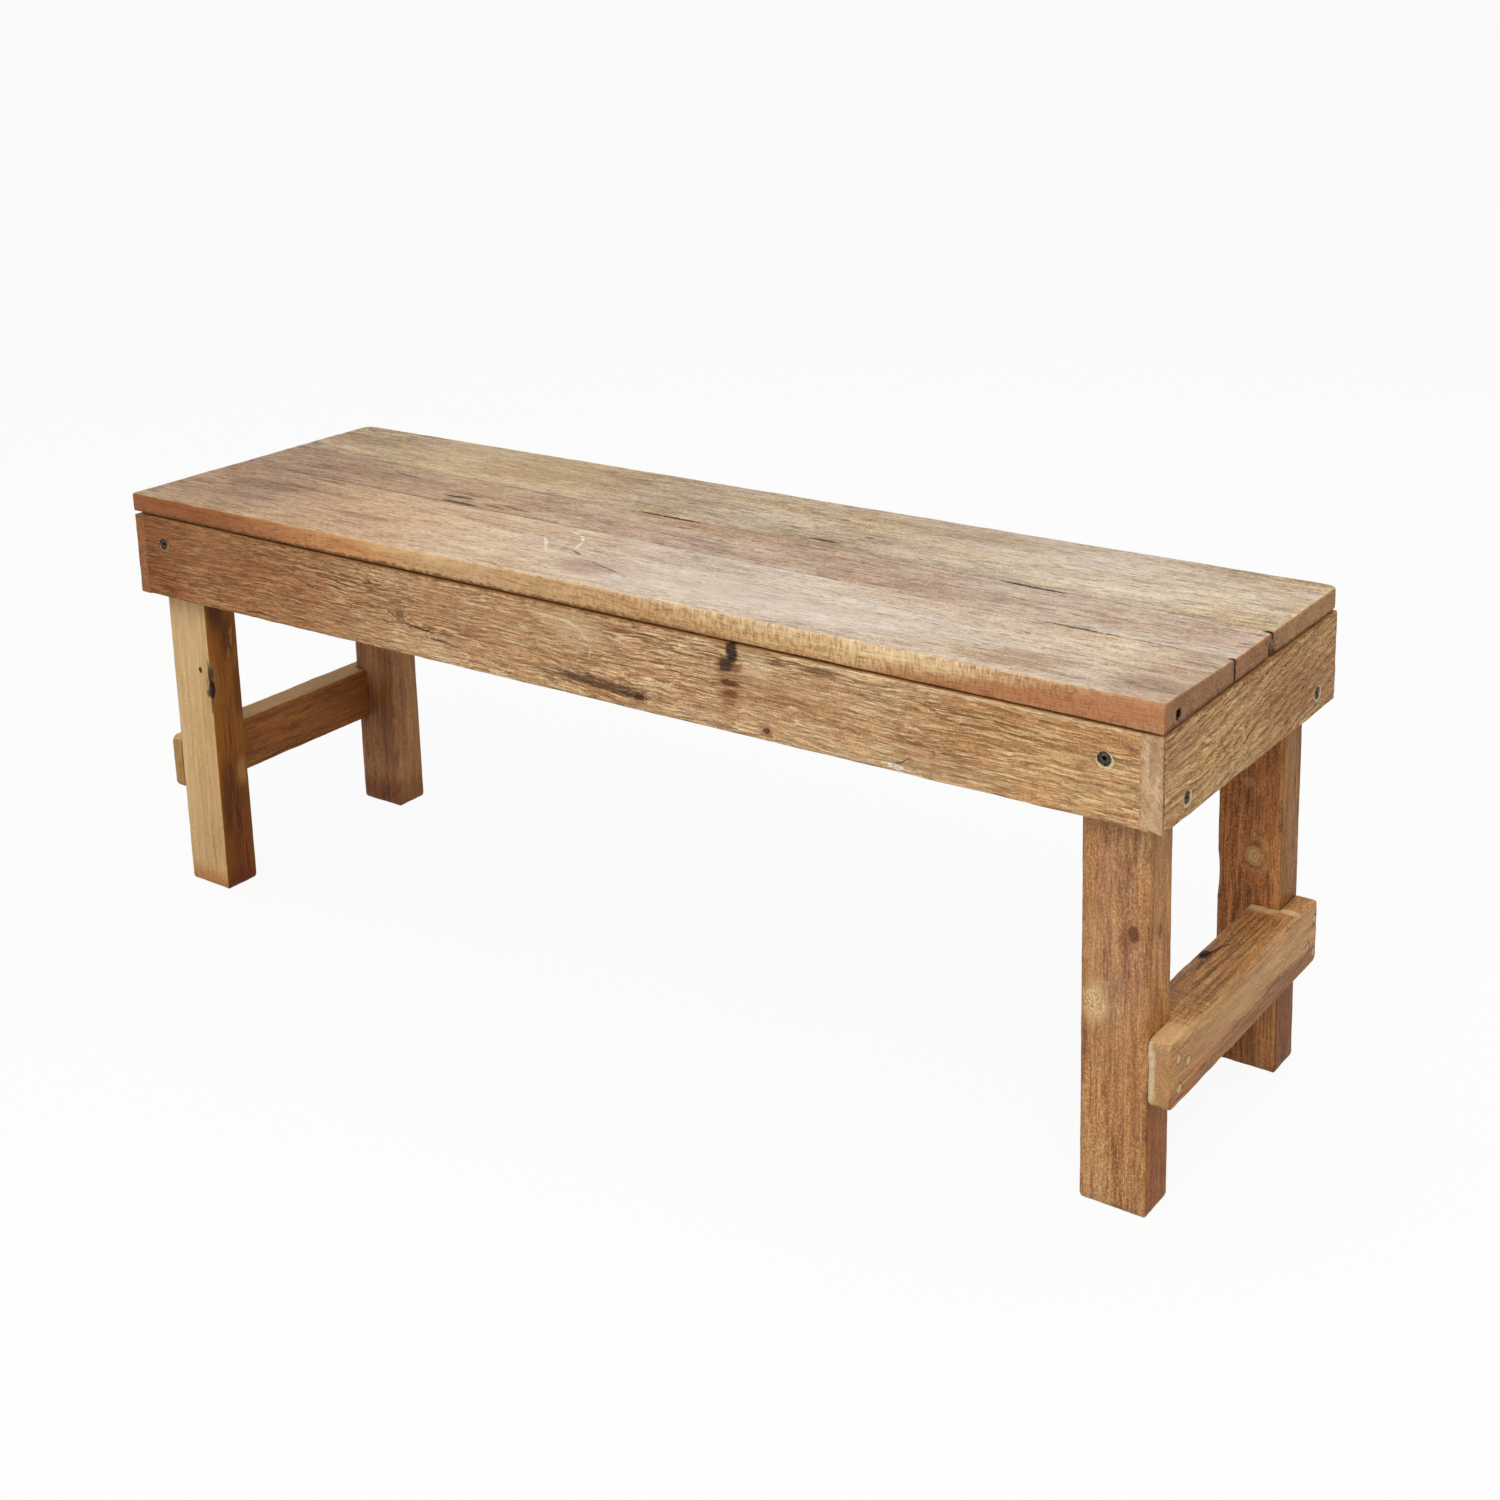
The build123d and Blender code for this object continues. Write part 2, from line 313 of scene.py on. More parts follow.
def chip(at, radius, stretch, seed):
    return {"cut": cutChip, "at": at, "radius": radius, "stretch": stretch, "seed": seed}


def notch(at, size, rough, seed):
    return {"cut": cutNotch, "at": at, "size": size, "rough": rough, "seed": seed}


def crack(start, end, width, depth, seed):
    return {"cut": cutCrack, "start": start, "end": end, "width": width, "depth": depth, "seed": seed}


def spans(piece):
    places = [vertex.co for vertex in piece.data.vertices]
    return [(min(place[axis] for place in places), max(place[axis] for place in places)) for axis in range(3)]


def cutHoles(piece, tools):
    # tools that don't reach the piece are left out
    cutters = []
    for tool in tools:
        deselectAll()
        cutters.append(tool["cut"](tool))
    own = spans(piece)
    for cutter in cutters:
        if all(a[0] < b[1] and b[0] < a[1] for a, b in zip(own, spans(cutter))):
            addCut(piece, cutter)
    applyModifiers(piece)
    for cutter in cutters:
        bpy.data.objects.remove(cutter)


def isLengthways(middle, way):
    return abs(way.x) > .9


sharpTurn = .75  # radians between the faces of an edge that gets rounded


def makeBoard(board):
    # block, taper, arrises, an even grid, rounded corners, holes, then wear
    low, high = board.get("block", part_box(board["node"]))
    deselectAll()
    bpy.ops.mesh.primitive_cube_add(
        size=1, location=[(a + b) / 2 for a, b in zip(low, high)], scale=[b - a for a, b in zip(low, high)])
    piece = newPiece(board["name"])
    for sides, shift in board.get("moves", []):
        pick(piece, "VERT", lambda vert: onSide(vert.co, low, high, sides))
        bpy.ops.transform.translate(value=[part * mm for part in shift])
        endEdit()
    if "shape" in board:
        board["shape"](piece, board)
    for radius, test in board["arrises"]:
        pick(piece, "EDGE", lambda edge: (
            edge.calc_face_angle_signed(0) > sharpTurn and test(edgeMiddle(edge), edgeWay(edge))))
        bpy.ops.mesh.bevel(offset=radius * mm, segments=3, affect="EDGES", clamp_overlap=True)
        endEdit()
    for axis, rounds in enumerate(board["cells"]):
        cutAcross(piece, axis, rounds)
    markArris(piece)
    for corner, radius, axes in board.get("corners", []):
        roundCorner(piece, [part * mm for part in corner], radius * mm, axes)
    cutHoles(piece, board.get("tools", []))
    grain, wear = board["grain"], board["wear"]
    for letter in "XYZ":
        addRelief(piece, swellClouds, swellGuides[grain], wear["swell"] * mm, letter)
    addRelief(piece, brushClouds, grainGuides[grain], wear["brush"] * mm)
    addRelief(piece, nickClouds, nickGuides[grain], wear["nick"] * mm, "NORMAL", 1, "arris")
    applyModifiers(piece)
    storeArris(piece)
    return piece


# materials

def shade(colour):
    # a colour as seen, such as "b08a62", in the linear values that a shader takes
    parts = [int(colour[i:i + 2], 16) / 255 for i in (0, 2, 4)]
    linear = [part / 12.92 if part <= .04045 else ((part + .055) / 1.055) ** 2.4 for part in parts]
    return (*linear, 1)


class Wire:
    # one output of a node; sums on wires add Math nodes
    def __init__(self, tree, socket=None):
        self.tree = tree
        self.socket = socket

    def node(self, kind, settings, inputs, output=0):
        made = self.tree.nodes.new("ShaderNode" + kind)
        for key, value in settings.items():
            if key == "stops":
                ramp = made.color_ramp
                while len(ramp.elements) < len(value):
                    ramp.elements.new(.5)
                for element, (position, colour) in zip(ramp.elements, value):
                    element.position = position
                    element.color = colour
            else:
                setattr(made, key, value)
        for key, value in inputs.items():
            if isinstance(value, Wire):
                self.tree.links.new(value.socket, made.inputs[key])
            else:
                made.inputs[key].default_value = value
        return Wire(self.tree, made.outputs[output] if made.outputs else None)

    def outputs(self, keys):
        return [Wire(self.tree, self.socket.node.outputs[key]) for key in keys]

    def maths(self, operation, *values):
        return self.node("Math", {"operation": operation}, dict(enumerate(values)))

    def __add__(self, other):
        return self.maths("ADD", self, other)

    def __sub__(self, other):
        return self.maths("SUBTRACT", self, other)

    def __rsub__(self, other):
        return self.maths("SUBTRACT", other, self)

    def __mul__(self, other):
        return self.maths("MULTIPLY", self, other)

    def __truediv__(self, other):
        return self.maths("DIVIDE", self, other)

    def __pow__(self, other):
        return self.maths("POWER", self, other)

    __radd__ = __add__
    __rmul__ = __mul__

    def fraction(self):
        return self.maths("FRACT", self)

    def positive(self):
        return self.maths("ABSOLUTE", self)

    def exponent(self):
        return self.maths("EXPONENT", self)

    def smooth(self, start, end, low=0, high=1):
        # an S-shaped step from low to high as the value goes from start to end
        return self.node("MapRange", {"interpolation_type": "SMOOTHSTEP"}, {
            0: self, 1: start, 2: end, 3: low, 4: high})

    def parts(self):
        return self.node("SeparateXYZ", {}, {0: self}).outputs(range(3))

    def vector(self, x, y, z):
        return self.node("CombineXYZ", {}, {0: x, 1: y, 2: z})

    def vectorMaths(self, operation, other=(0, 0, 0), output=0):
        return self.node("VectorMath", {"operation": operation}, {0: self, 1: other}, output)

    def scaled(self, factor):
        return self.vectorMaths("MULTIPLY", (factor, factor, factor))

    def noise(self, detail, roughness, seed, output="Fac"):
        return self.node("TexNoise", {"noise_dimensions": "4D"}, {
            "Vector": self, "W": seed, "Scale": 1.0, "Detail": detail, "Roughness": roughness}, output)

    def blend(self, factor, first, second, mode="MIX"):
        first, second = [shade(colour) if isinstance(colour, str) else colour for colour in (first, second)]
        return self.node("Mix", {"data_type": "RGBA", "blend_type": mode}, {0: factor, 6: first, 7: second}, 2)


def startMaterial(name):
    material = bpy.data.materials.new(name)
    material.use_nodes = True
    material.node_tree.nodes.clear()
    return material, Wire(material.node_tree)


def placeInMm(bench):
    return bench.node("Mapping", {}, {
        "Vector": bench.node("TexCoord", {}, {}, "Object"), "Scale": (1000, 1000, 1000)})


def endMaterial(bench, colour, roughness, height, settings):
    bump = bench.node("Bump", {}, {"Strength": 1.0, "Distance": 1 * mm, "Height": height})
    shader = bench.node("BsdfPrincipled", {}, {
        "Base Color": colour, "Roughness": roughness, "Normal": bump,
        "Specular IOR Level": settings["gloss"], "Metallic": settings["metal"]})
    bench.node("OutputMaterial", {}, {"Surface": shader})


def markReach(place, mark):
    # how far a place is from a mark's middle, 1 at its edge
    gap = place.vectorMaths("SUBTRACT", mark["at"]).vectorMaths("DIVIDE", mark["size"])
    return gap.vectorMaths("LENGTH", output="Value")


def lineReach(place, line):
    # the same from a line that thins towards both ends
    start, end = Vector(line["start"]), Vector(line["end"])
    run = end - start
    share = place.vectorMaths("SUBTRACT", start).vectorMaths("DOT_PRODUCT", run / run.length_squared, "Value")
    share = share.node("Clamp", {}, {0: share})
    nearest = share.vector(share, share, share).vectorMaths("MULTIPLY", run).vectorMaths("ADD", start)
    gap = place.vectorMaths("SUBTRACT", nearest).vectorMaths("LENGTH", output="Value")
    middle = share * 2 - 1
    return gap / ((1.15 - middle * middle) * line["width"])


def streaked(grainParts, run, count, detail, roughness, seed, output="Fac"):
    # noise drawn out along the grain, with its cells per mm along and across
    along, across, deep = grainParts
    return along.vector(along * run, across * count, deep * count).noise(detail, roughness, seed, output)


# the turn that brings a grain along X, Y or Z onto X
grainTurns = [(0, 0, 0), (0, 0, math.radians(-90)), (0, math.radians(90), 0)]
# detail, roughness and seed of the patterns along the grain
patternNoise = {
    "sway": (2, .5, 0), "ripple": (2, .5, 3.1), "fibre": (4, .62, 11), "strand": (4, .6, 17), "break": (2, .5, 19),
    "pore": (2, .5, 23), "hair": (3, .55, 27), "cloud": (3, .6, 31), "smudge": (3, .55, 35), "grit": (3, .7, 37),
    "tint": (3, .6, 41), "wash": (4, .62, 51), "washFine": (4, .68, 57), "saw": (2, .5, 77),
}


def woodMaterial(name, wood):
    material, bench = startMaterial(name)
    seed, grain = wood["seed"], wood["grain"]
    spot = placeInMm(bench)
    spotParts = spot.parts()
    facing = bench.node("TexCoord", {}, {}, "Normal").parts()

    def onFace(way, start, end):
        # 1 on the face that looks this way
        axis = [abs(part) for part in way].index(1)
        return (facing[axis] * way[axis]).smooth(start, end)

    def pattern(kind, grainParts, run=None, count=None, output="Fac"):
        detail, roughness, ownSeed = patternNoise[kind]
        run, count = run or wood[kind + "Run"], count or wood[kind + "Count"]
        return streaked(grainParts, run, count, detail, roughness, seed + ownSeed, output)

    # the board turned so that its grain runs along X, with the heart of the tree at the origin
    turned = bench.node("Mapping", {}, {
        "Vector": spot, "Location": (0, *wood["heart"]),
        "Rotation": [a + b for a, b in zip(grainTurns[grain], wood["lean"])]})
    along, across, deep = turned.parts()
    # slow sway of the grain, then small waves in the fibres
    for kind in ("sway", "ripple"):
        bend = pattern(kind, (along, across, deep), output="Color").parts()
        across = across + (bend[0] - .5) * wood[kind]
        deep = deep + (bend[1] - .5) * wood[kind]
    # a roughened copy of the place, for the edges of marks and knots
    jitter = spot.scaled(.16).noise(3, .65, seed + 8.2, "Color")
    roughSpot = spot.vectorMaths("ADD", jitter.vectorMaths("SUBTRACT", (.5, .5, .5)).scaled(6))
    nibble = jitter.parts()[0] - .5
    # knots push the grain aside
    knots = [(knot, markReach(roughSpot, knot)) for knot in wood["knots"]]
    for knot, reach in knots:
        across = across + (reach * reach * -.3).exponent() * knot["push"]
    grainParts = (along, across, deep)
    rings = (across * across + deep * deep) ** .5
    ringDrift = bench.vector(along * .001, rings * .06, 0.0).noise(2, .5, seed + 5)
    cycle = (rings / wood["ringWidth"] + (ringDrift - .5) * 3).fraction()
    late = cycle.smooth(.15, .8) * cycle.smooth(1, .86)
    # fibres, strands, pores and clouds of tone
    fibre, strands, breaks, pores, clouds, smudges, hairs, grit = [pattern(kind, grainParts) for kind in (
        "fibre", "strand", "break", "pore", "cloud", "smudge", "hair", "grit")]
    pores = pores.smooth(.56, .66)
    smudges = smudges.smooth(.56, .68)
    hairs = (hairs - .5).positive().smooth(wood["hairWidth"], 0) * breaks.smooth(.42, .58)
    streaks = (fibre.smooth(.5 - wood["fibreSoft"], .5 + wood["fibreSoft"]) - .5) * breaks.smooth(.3, .62, .5, 1.2)
    tone = (.5 + (late - .3) * wood["ringContrast"] + streaks * wood["fibreContrast"]
            + (strands - .5) * wood["strandContrast"] + (clouds - .5) * wood["cloudContrast"]
            + (grit - .5) * wood["gritContrast"] + smudges * wood["smudge"] + hairs * wood["hairContrast"])
    dark, middle, pale = [shade(colour) for colour in wood["tones"]]
    colour = bench.node("ValToRGB", {"stops": [(.0, pale), (.5, middle), (1, dark)]}, {0: tone})
    tint = pattern("tint", grainParts).smooth(.42, .68)
    colour = bench.blend(tint * wood["tintAmount"], colour, wood["tint"])
    # thin pale wash that stays in the hollows of the grain; its rise along the board is partly painted sheen
    washAndSheen = pattern("wash", grainParts).smooth(.36, .66) * pattern("washFine", grainParts).smooth(.34, .66)
    washAndSheen = washAndSheen * wood["washAmount"] * spotParts[grain].smooth(*wood["washRise"])
    colour = bench.blend(washAndSheen, colour, wood["wash"])
    # arrises: rubbed pale where they face up, dirty below
    arris = bench.node("Attribute", {"attribute_name": "arrisWear"}, {}, "Fac")
    upward = facing[2].smooth(-.3, .4)
    rub = spot.scaled(.05).noise(5, .7, seed + 61)
    colour = bench.blend(arris * rub.smooth(.36, .54) * (upward * .6 + .4) * wood["rubAmount"], colour, wood["rub"])
    colour = bench.blend(arris * rub.smooth(.54, .4) * (1 - upward * .7) * wood["dirtAmount"], colour, wood["dirt"])
    # parts of the board, or of one of its faces, that are another tone
    for patch in wood["patches"]:
        start, end, fade = patch["start"], patch["end"], patch["fade"]
        reach = (spotParts[patch.get("axis", grain)] + (clouds - .5) * patch.get("ragged", 0)
                 + nibble * patch.get("nibble", 0))
        mask = reach.smooth(start - fade, start + fade) * reach.smooth(end + fade, end - fade)
        if "span" in patch:
            mask = mask * spotParts[grain].smooth(*patch["span"])
        if "way" in patch:
            mask = mask * onFace(patch["way"], .45, .75)
        colour = bench.blend(mask * patch["amount"], colour, patch["colour"], patch.get("mode", "MULTIPLY"))
    # pale flecks on the raised grit: painted highlights on the ridges
    colour = bench.blend(grit.smooth(.6, .7) * wood["ridgeHighlights"], colour, wood["wash"])
    colour = bench.blend(pores * wood["poreAmount"], colour, wood["poreColour"])
    height = (streaks * -.7 + (strands - .5) * -1.5 - late * .25 - pores * .35 + (grit - .5) * .5
              - hairs * .5) * wood["relief"]
    # saw marks stand square to the grain on one face
    for saw in wood["sawn"]:
        mask = onFace(saw["way"], .35, .75)
        for axis, *step in saw["steps"]:
            mask = mask * spotParts[axis].smooth(*step)
        lines = pattern("saw", (spotParts[grain], across, deep), saw["count"], saw["across"])
        colour = bench.blend(mask * lines.smooth(.48, .6) * saw["amount"], colour, saw["colour"])
        height = height - mask * lines.smooth(.45, .65) * saw["depth"]
    for mark in wood["marks"]:
        reach = markReach(roughSpot, mark)
        mask = reach.smooth(1 + mark["soft"], 1 - mark["soft"]) * mark["amount"]
        if "grainy" in mark:
            mask = mask * (fibre * .6 + strands * .4).smooth(.56 - mark["grainy"], .56)
        if "speckled" in mark:
            mask = mask * grit.smooth(*mark["speckled"])
        if "ring" in mark:
            mask = mask * reach.smooth(mark["ring"] - .12, mark["ring"] + .12)
        colour = bench.blend(mask, colour, mark["colour"], mark.get("mode", "MIX"))
        height = height - mask * mark.get("sink", 0)
    for line in wood["lines"]:
        mask = lineReach(roughSpot, line).smooth(1.25, .55) * line["amount"]
        colour = bench.blend(mask, colour, line["colour"])
    for knot, reach in knots:
        ringed = (reach * 2.2 + (grit - .5) * 2).fraction().smooth(.1, .9) * .7
        inside = bench.blend(ringed, knot["colour"], knot["ringColour"])
        colour = bench.blend(reach.smooth(2.4, 1.0) * .4 * knot["amount"], colour, knot["ringColour"])
        mask = reach.smooth(1.15, .8) * knot["amount"]
        colour = bench.blend(mask, colour, inside)
        height = height - mask * knot["sink"]
    # cut ends are of another tone, with open pores
    endFace = facing[grain].positive().smooth(.6, .95)
    endPores = spot.scaled(.8).noise(3, .7, seed + 71)
    endRough = spot.scaled(.1).noise(4, .7, seed + 73)
    endTone = (endRough * .6 + endPores * .6).smooth(.42, .74, .3, 1)
    colour = bench.blend(endFace * wood["endAmount"] * endTone, colour, wood["endColour"])
    height = height - endFace * endPores.smooth(.5, .65) * .2
    roughness = wood["roughness"] + streaks * .12 + washAndSheen * .12 + pores * .1
    endMaterial(bench, colour, roughness, height, wood)
    return material


plainWood = {
    "grain": 0, "heart": (0, 60), "lean": (0, 0, 0), "seed": 1.0, "roughness": .62, "gloss": .15, "metal": 0.0,
    "tones": ("6f4a2c", "9c7146", "c8a374"), "tint": "a86f4a", "tintAmount": .4, "relief": .35,
    # bends of the grain in mm, then each pattern's cells per mm along (Run) and across the grain (Count)
    "sway": 26, "swayRun": .0022, "swayCount": .009, "ripple": 4, "rippleRun": .024, "rippleCount": .06,
    "ringWidth": 6.5, "ringContrast": .12,
    "fibreRun": .05, "fibreCount": .9, "fibreSoft": .12, "fibreContrast": .3,
    "strandRun": .011, "strandCount": .24, "strandContrast": .7, "breakRun": .05, "breakCount": .12,
    "poreRun": .1, "poreCount": 1.6, "poreColour": "57391f", "poreAmount": .35,
    "cloudRun": .0028, "cloudCount": .011, "cloudContrast": .7,
    "smudgeRun": .012, "smudgeCount": .05, "smudge": 0,
    "hairRun": .005, "hairCount": .15, "hairWidth": .04, "hairContrast": .2,
    "gritRun": .6, "gritCount": .6, "gritContrast": .3, "ridgeHighlights": .15, "tintRun": .003, "tintCount": .02,
    # the wash grows along the board between two places, from one amount to another, which on the seat tops is partly
    # painted sheen towards the right
    "wash": "d8c6ae", "washAmount": .35, "washRise": (-600, 600, 1, 1),
    "washRun": .004, "washCount": .022, "washFineRun": .06, "washFineCount": .7,
    "rub": "d3b48a", "rubAmount": .5, "dirt": "4a3220", "dirtAmount": .35, "endColour": "7d5636", "endAmount": .45,
    "knots": [], "marks": [], "lines": [], "patches": [], "sawn": [],
}


def timber(**changes):
    return {**plainWood, **changes}


# what lies on a board, with places and sizes in mm; a band spans its grain, or another axis

def band(start, end, fade, colour, amount, **more):
    return {"start": start, "end": end, "fade": fade, "colour": colour, "amount": amount, **more}


def stain(at, size, colour, amount, soft, **more):
    return {"at": at, "size": size, "colour": colour, "amount": amount, "soft": soft, **more}


def scratch(start, end, width, colour, amount):
    return {"start": start, "end": end, "width": width, "colour": colour, "amount": amount}


def knotAt(at, size, push, colour, ringColour, amount, sink):
    return {"at": at, "size": size, "push": push, "colour": colour, "ringColour": ringColour,
            "amount": amount, "sink": sink}


def buildBoards(pairs, slotName):
    for board, recipe in pairs:
        finishPiece(makeBoard(board), board["node"], woodMaterial(board["name"] + "Wood", recipe))


# seat planks: three tapered boards with two open joints between them

plankShape = {"grain": 0, "wear": {"swell": .7, "brush": .12, "nick": .4}}
openJoints = [
    notch((598, -46.6, 440), (7, 2.2, 26), .5, 5),
    notch((598, 28.2, 440), (9, 3, 26), .7, 8),
    chip((600, 27, 436), 7.5, (1, 1.05, 1.2), 4),
    crack((-80, 46.7, 450), (-4, 44.6, 450), 2.2, 3, 6),
    crack((340, 35.2, 450), (408, 33.4, 450), 1.8, 3, 7),
    crack((452, -43.6, 450), (505, -44.7, 450), 2.2, 3, 9),
    crack((508, -44.8, 450), (598, -46.7, 450), 1.3, 2.5, 12),
]

frontPlank = {
    **plankShape, "name": "seatPlankFront", "node": "seat_plank_front",
    "block": (Vector((-.6, -.175, .43)), Vector((.6, -.022, .45))),
    "moves": [((1, 1, 0), (0, -25, 0)), ((1, -1, 1), (0, 0, 4)), ((1, -1, -1), (0, 0, -1.3))],
    "arrises": [(2.2, lambda middle, way: abs(way.x) < .9 or middle.y < -.06)],
    "cells": ((15, 14), (9, 6), (7,)),
    "tools": [
        notch((594, -151, 438.5), (18, 8.5, 8.5), .5, 2),
        crack((-12, -113, 450), (32, -128.5, 450), 1.2, 2, 3),
        crack((-52, -93, 450), (-32, -103, 450), 1, 2, 13),
        crack((43, -40.5, 450), (54, -38, 450), 2, 2, 14),
        *openJoints,
    ],
}
middlePlank = {
    **plankShape, "name": "seatPlankMiddle", "node": "seat_plank_middle",
    "block": (Vector((-.6, -.0212, .43)), Vector((.6, .0608, .45))),
    "moves": [((1, -1, 0), (0, -25, 0)), ((1, 1, 0), (0, -32, 0))],
    "arrises": [(2.2, lambda middle, way: abs(way.x) < .9)],
    "cells": ((15, 14), (6, 4), (7,)),
    "tools": [
        crack((-300, -9, 450), (-262, -6, 450), 1.8, 2.5, 21),
        crack((-284, -23, 450), (-240, -25, 450), 2, 2.5, 22),
        *openJoints,
    ],
}
backPlank = {
    **plankShape, "name": "seatPlankBack", "node": "seat_plank_back",
    "block": (Vector((-.6, .0616, .43)), Vector((.6, .175, .45))),
    "moves": [((1, -1, 0), (0, -32, 0))],
    "arrises": [(2.2, lambda middle, way: abs(way.x) < .9 or middle.y > .1)],
    "cells": ((15, 14), (8, 6), (7,)),
    "corners": [((-600, 175), 16, (0, 1)), ((600, 175), 9, (0, 1))],
    "tools": [
        crack((122, 60, 450), (150, 57, 450), 1.8, 2.5, 31),
        *openJoints,
    ],
}
seatWood = {
    "ringContrast": .16, "fibreContrast": .42, "fibreCount": .44, "fibreRun": .02, "fibreSoft": .08,
    "strandCount": .14, "strandContrast": .5, "hairCount": .085, "hairWidth": .036, "hairContrast": .48,
    "cloudContrast": .9, "gritContrast": 2.2, "gritRun": .46, "gritCount": .26, "washAmount": .75, "wash": "e3dacb",
    "poreCount": .5, "poreAmount": .5, "poreColour": "6a4a33", "relief": .4, "roughness": .5, "ridgeHighlights": .25,
    "rub": "dcc39c", "rubAmount": .3, "dirt": "5a3c24", "dirtAmount": .4, "gloss": .2,
}
# painted shade: a dark band along the lower edge of the boards, over the shadow gap
shadedLowEdge = band(400, 432.6, 1.2, "5f3a1a", .8, nibble=15, axis=2, mode="MIX")
# near-black inside the two open joints and the chip at the seat's right end: painted shade in them
slotShades = [stain((598, -46.6, 440), (6, 2.4, 15), "1c110a", .95, .2),
         stain((598, 28.2, 440), (8, 3, 15), "1c110a", .95, .2),
         stain((601, 27, 434), (8, 8.5, 9), "4a2212", .9, .2)]
# the seat tops run from darker left ends to paler right ends: partly their own tone, partly painted sheen towards the
# right
frontPlankWood = timber(
    **seatWood, seed=2.0, grain=0, heart=(98, 96), ringWidth=9, sway=44, washRise=(-480, 150, .45, 1.1),
    tones=("7c5b41", "b39472", "d9c4a3"), tint="a88460", tintAmount=.35,
    patches=[
        band(-700, -390, 130, "ded0c4", 1, ragged=400, way=top),
        band(-430, -30, 90, "edcb9c", .16, ragged=300, way=top, mode="MIX"),
        band(-440, -190, 60, "fff6ef", 1, ragged=200, way=top),
        band(-20, 400, 90, "e9e2da", .2, ragged=160, way=top, mode="MIX"),
        band(540, 700, 40, "e4dcd6", 1, ragged=100, way=top),
        band(-700, 700, 20, "d3a062", .6, way=front, mode="MIX"),
        band(120, 700, 60, "f6d298", .25, ragged=100, way=front, mode="MIX"),
        band(-700, -390, 120, "c4a690", 1, ragged=200, way=front),
        band(-700, -200, 60, "fbdfc8", 1, ragged=200, way=front),
        band(400, 700, 60, "e3cfc4", 1, ragged=300, way=front),
        {**shadedLowEdge, "way": front, "span": (330, 60)}, {**shadedLowEdge, "way": right},
        {**shadedLowEdge, "way": front, "end": 433, "nibble": 8, "span": (150, 420), "colour": "c48e60", "amount": .55},
        band(-700, 700, 20, "dcb084", 1, way=right)],
    sawn=[{"way": front, "steps": [(0, -100, 200, .3, 1)], "count": .42, "across": .14, "amount": .5,
           "colour": "94602f", "depth": .3},
          {"way": front, "steps": [(0, 0, 200), (0, 560, 440), (2, 439, 447)], "count": .4, "across": .1,
           "amount": .45, "colour": "f6dfb4", "depth": 0}],
    marks=[
        stain((-500, -76, 450), (60, 16, 9), "9a8878", .5, .5, mode="MULTIPLY"),
        stain((-468, -118, 450), (34, 10, 9), "b8a898", .5, .5, mode="MULTIPLY"),
        stain((-315, -113, 450), (46, 7, 9), "a89078", .5, .5, mode="MULTIPLY"),
        stain((-4, -134, 450), (30, 17, 9), "c8a89a", .7, .5, mode="MULTIPLY"),
        stain((150, -128, 450), (150, 34, 9), "ddcfc2", .35, .8),
        stain((572, -140, 450), (34, 16, 9), "9c8474", .45, .5, mode="MULTIPLY"),
        stain((590, -151, 438.5), (14, 7, 7), "0c0806", .98, .15), *slotShades,
        stain((520, -175, 439), (95, 4, 9), "a85f38", .5, .5),
        stain((578, -175, 447), (40, 4, 10), "b87c56", .6, .5),
        stain((400, -175, 433), (60, 4, 4.5), "9a5a30", .5, .6),
        stain((330, -175, 447), (120, 4, 5), "f3d9ac", .6, .6, grainy=.14),
        stain((130, -175, 434), (140, 4, 3.4), "9a6a3a", .4, .5, grainy=.2),
        stain((-60, -175, 441), (110, 4, 4), "b8813f", .4, .6, grainy=.12),
        stain((-190, -175, 446), (70, 4, 5), "e8c690", .5, .6, grainy=.14),
        stain((431, -78, 450), (4, 2, 3), "5c3f2a", .7, .3)],
    lines=[
        scratch((-32, -154, 450), (-28, -108, 450), 1.2, "8d6a50", .6),
        scratch((-28, -108, 450), (66, -140, 450), 1.6, "62402b", .8),
        scratch((-52, -93, 450), (-30, -104, 450), 2.2, "6d4a33", .7),
        scratch((-90, -47, 450), (-78, -48, 450), 1.8, "f4e9d4", .55),
        scratch((-78, -48, 450), (-60, -67, 450), 1.9, "f4e9d4", .55),
        scratch((-60, -67, 450), (-50, -93, 450), 1.9, "f4e9d4", .55),
        scratch((-108, -68, 450), (-71, -108, 450), 1.8, "f4e9d4", .5),
        scratch((365, -108, 450), (384, -121, 450), 1.3, "f1e5cf", .4),
        scratch((384, -121, 450), (411, -116, 450), 1.3, "f1e5cf", .4),
        scratch((-595, -22, 450), (-150, -31, 450), 1.4, "5a4030", .5),
        scratch((-482, -31, 450), (-416, -34, 450), 2.4, "50341f", .7),
        scratch((-448, -62, 450), (-398, -70, 450), 2, "6a482e", .6),
        scratch((-350, -132, 450), (-286, -140, 450), 1.8, "7a563a", .5),
        scratch((420, -43.2, 450), (504, -45.2, 450), 1.6, "3a2618", .8),
        scratch((500, -45, 450), (598, -46.8, 450), 1.1, "6a4630", .7)])
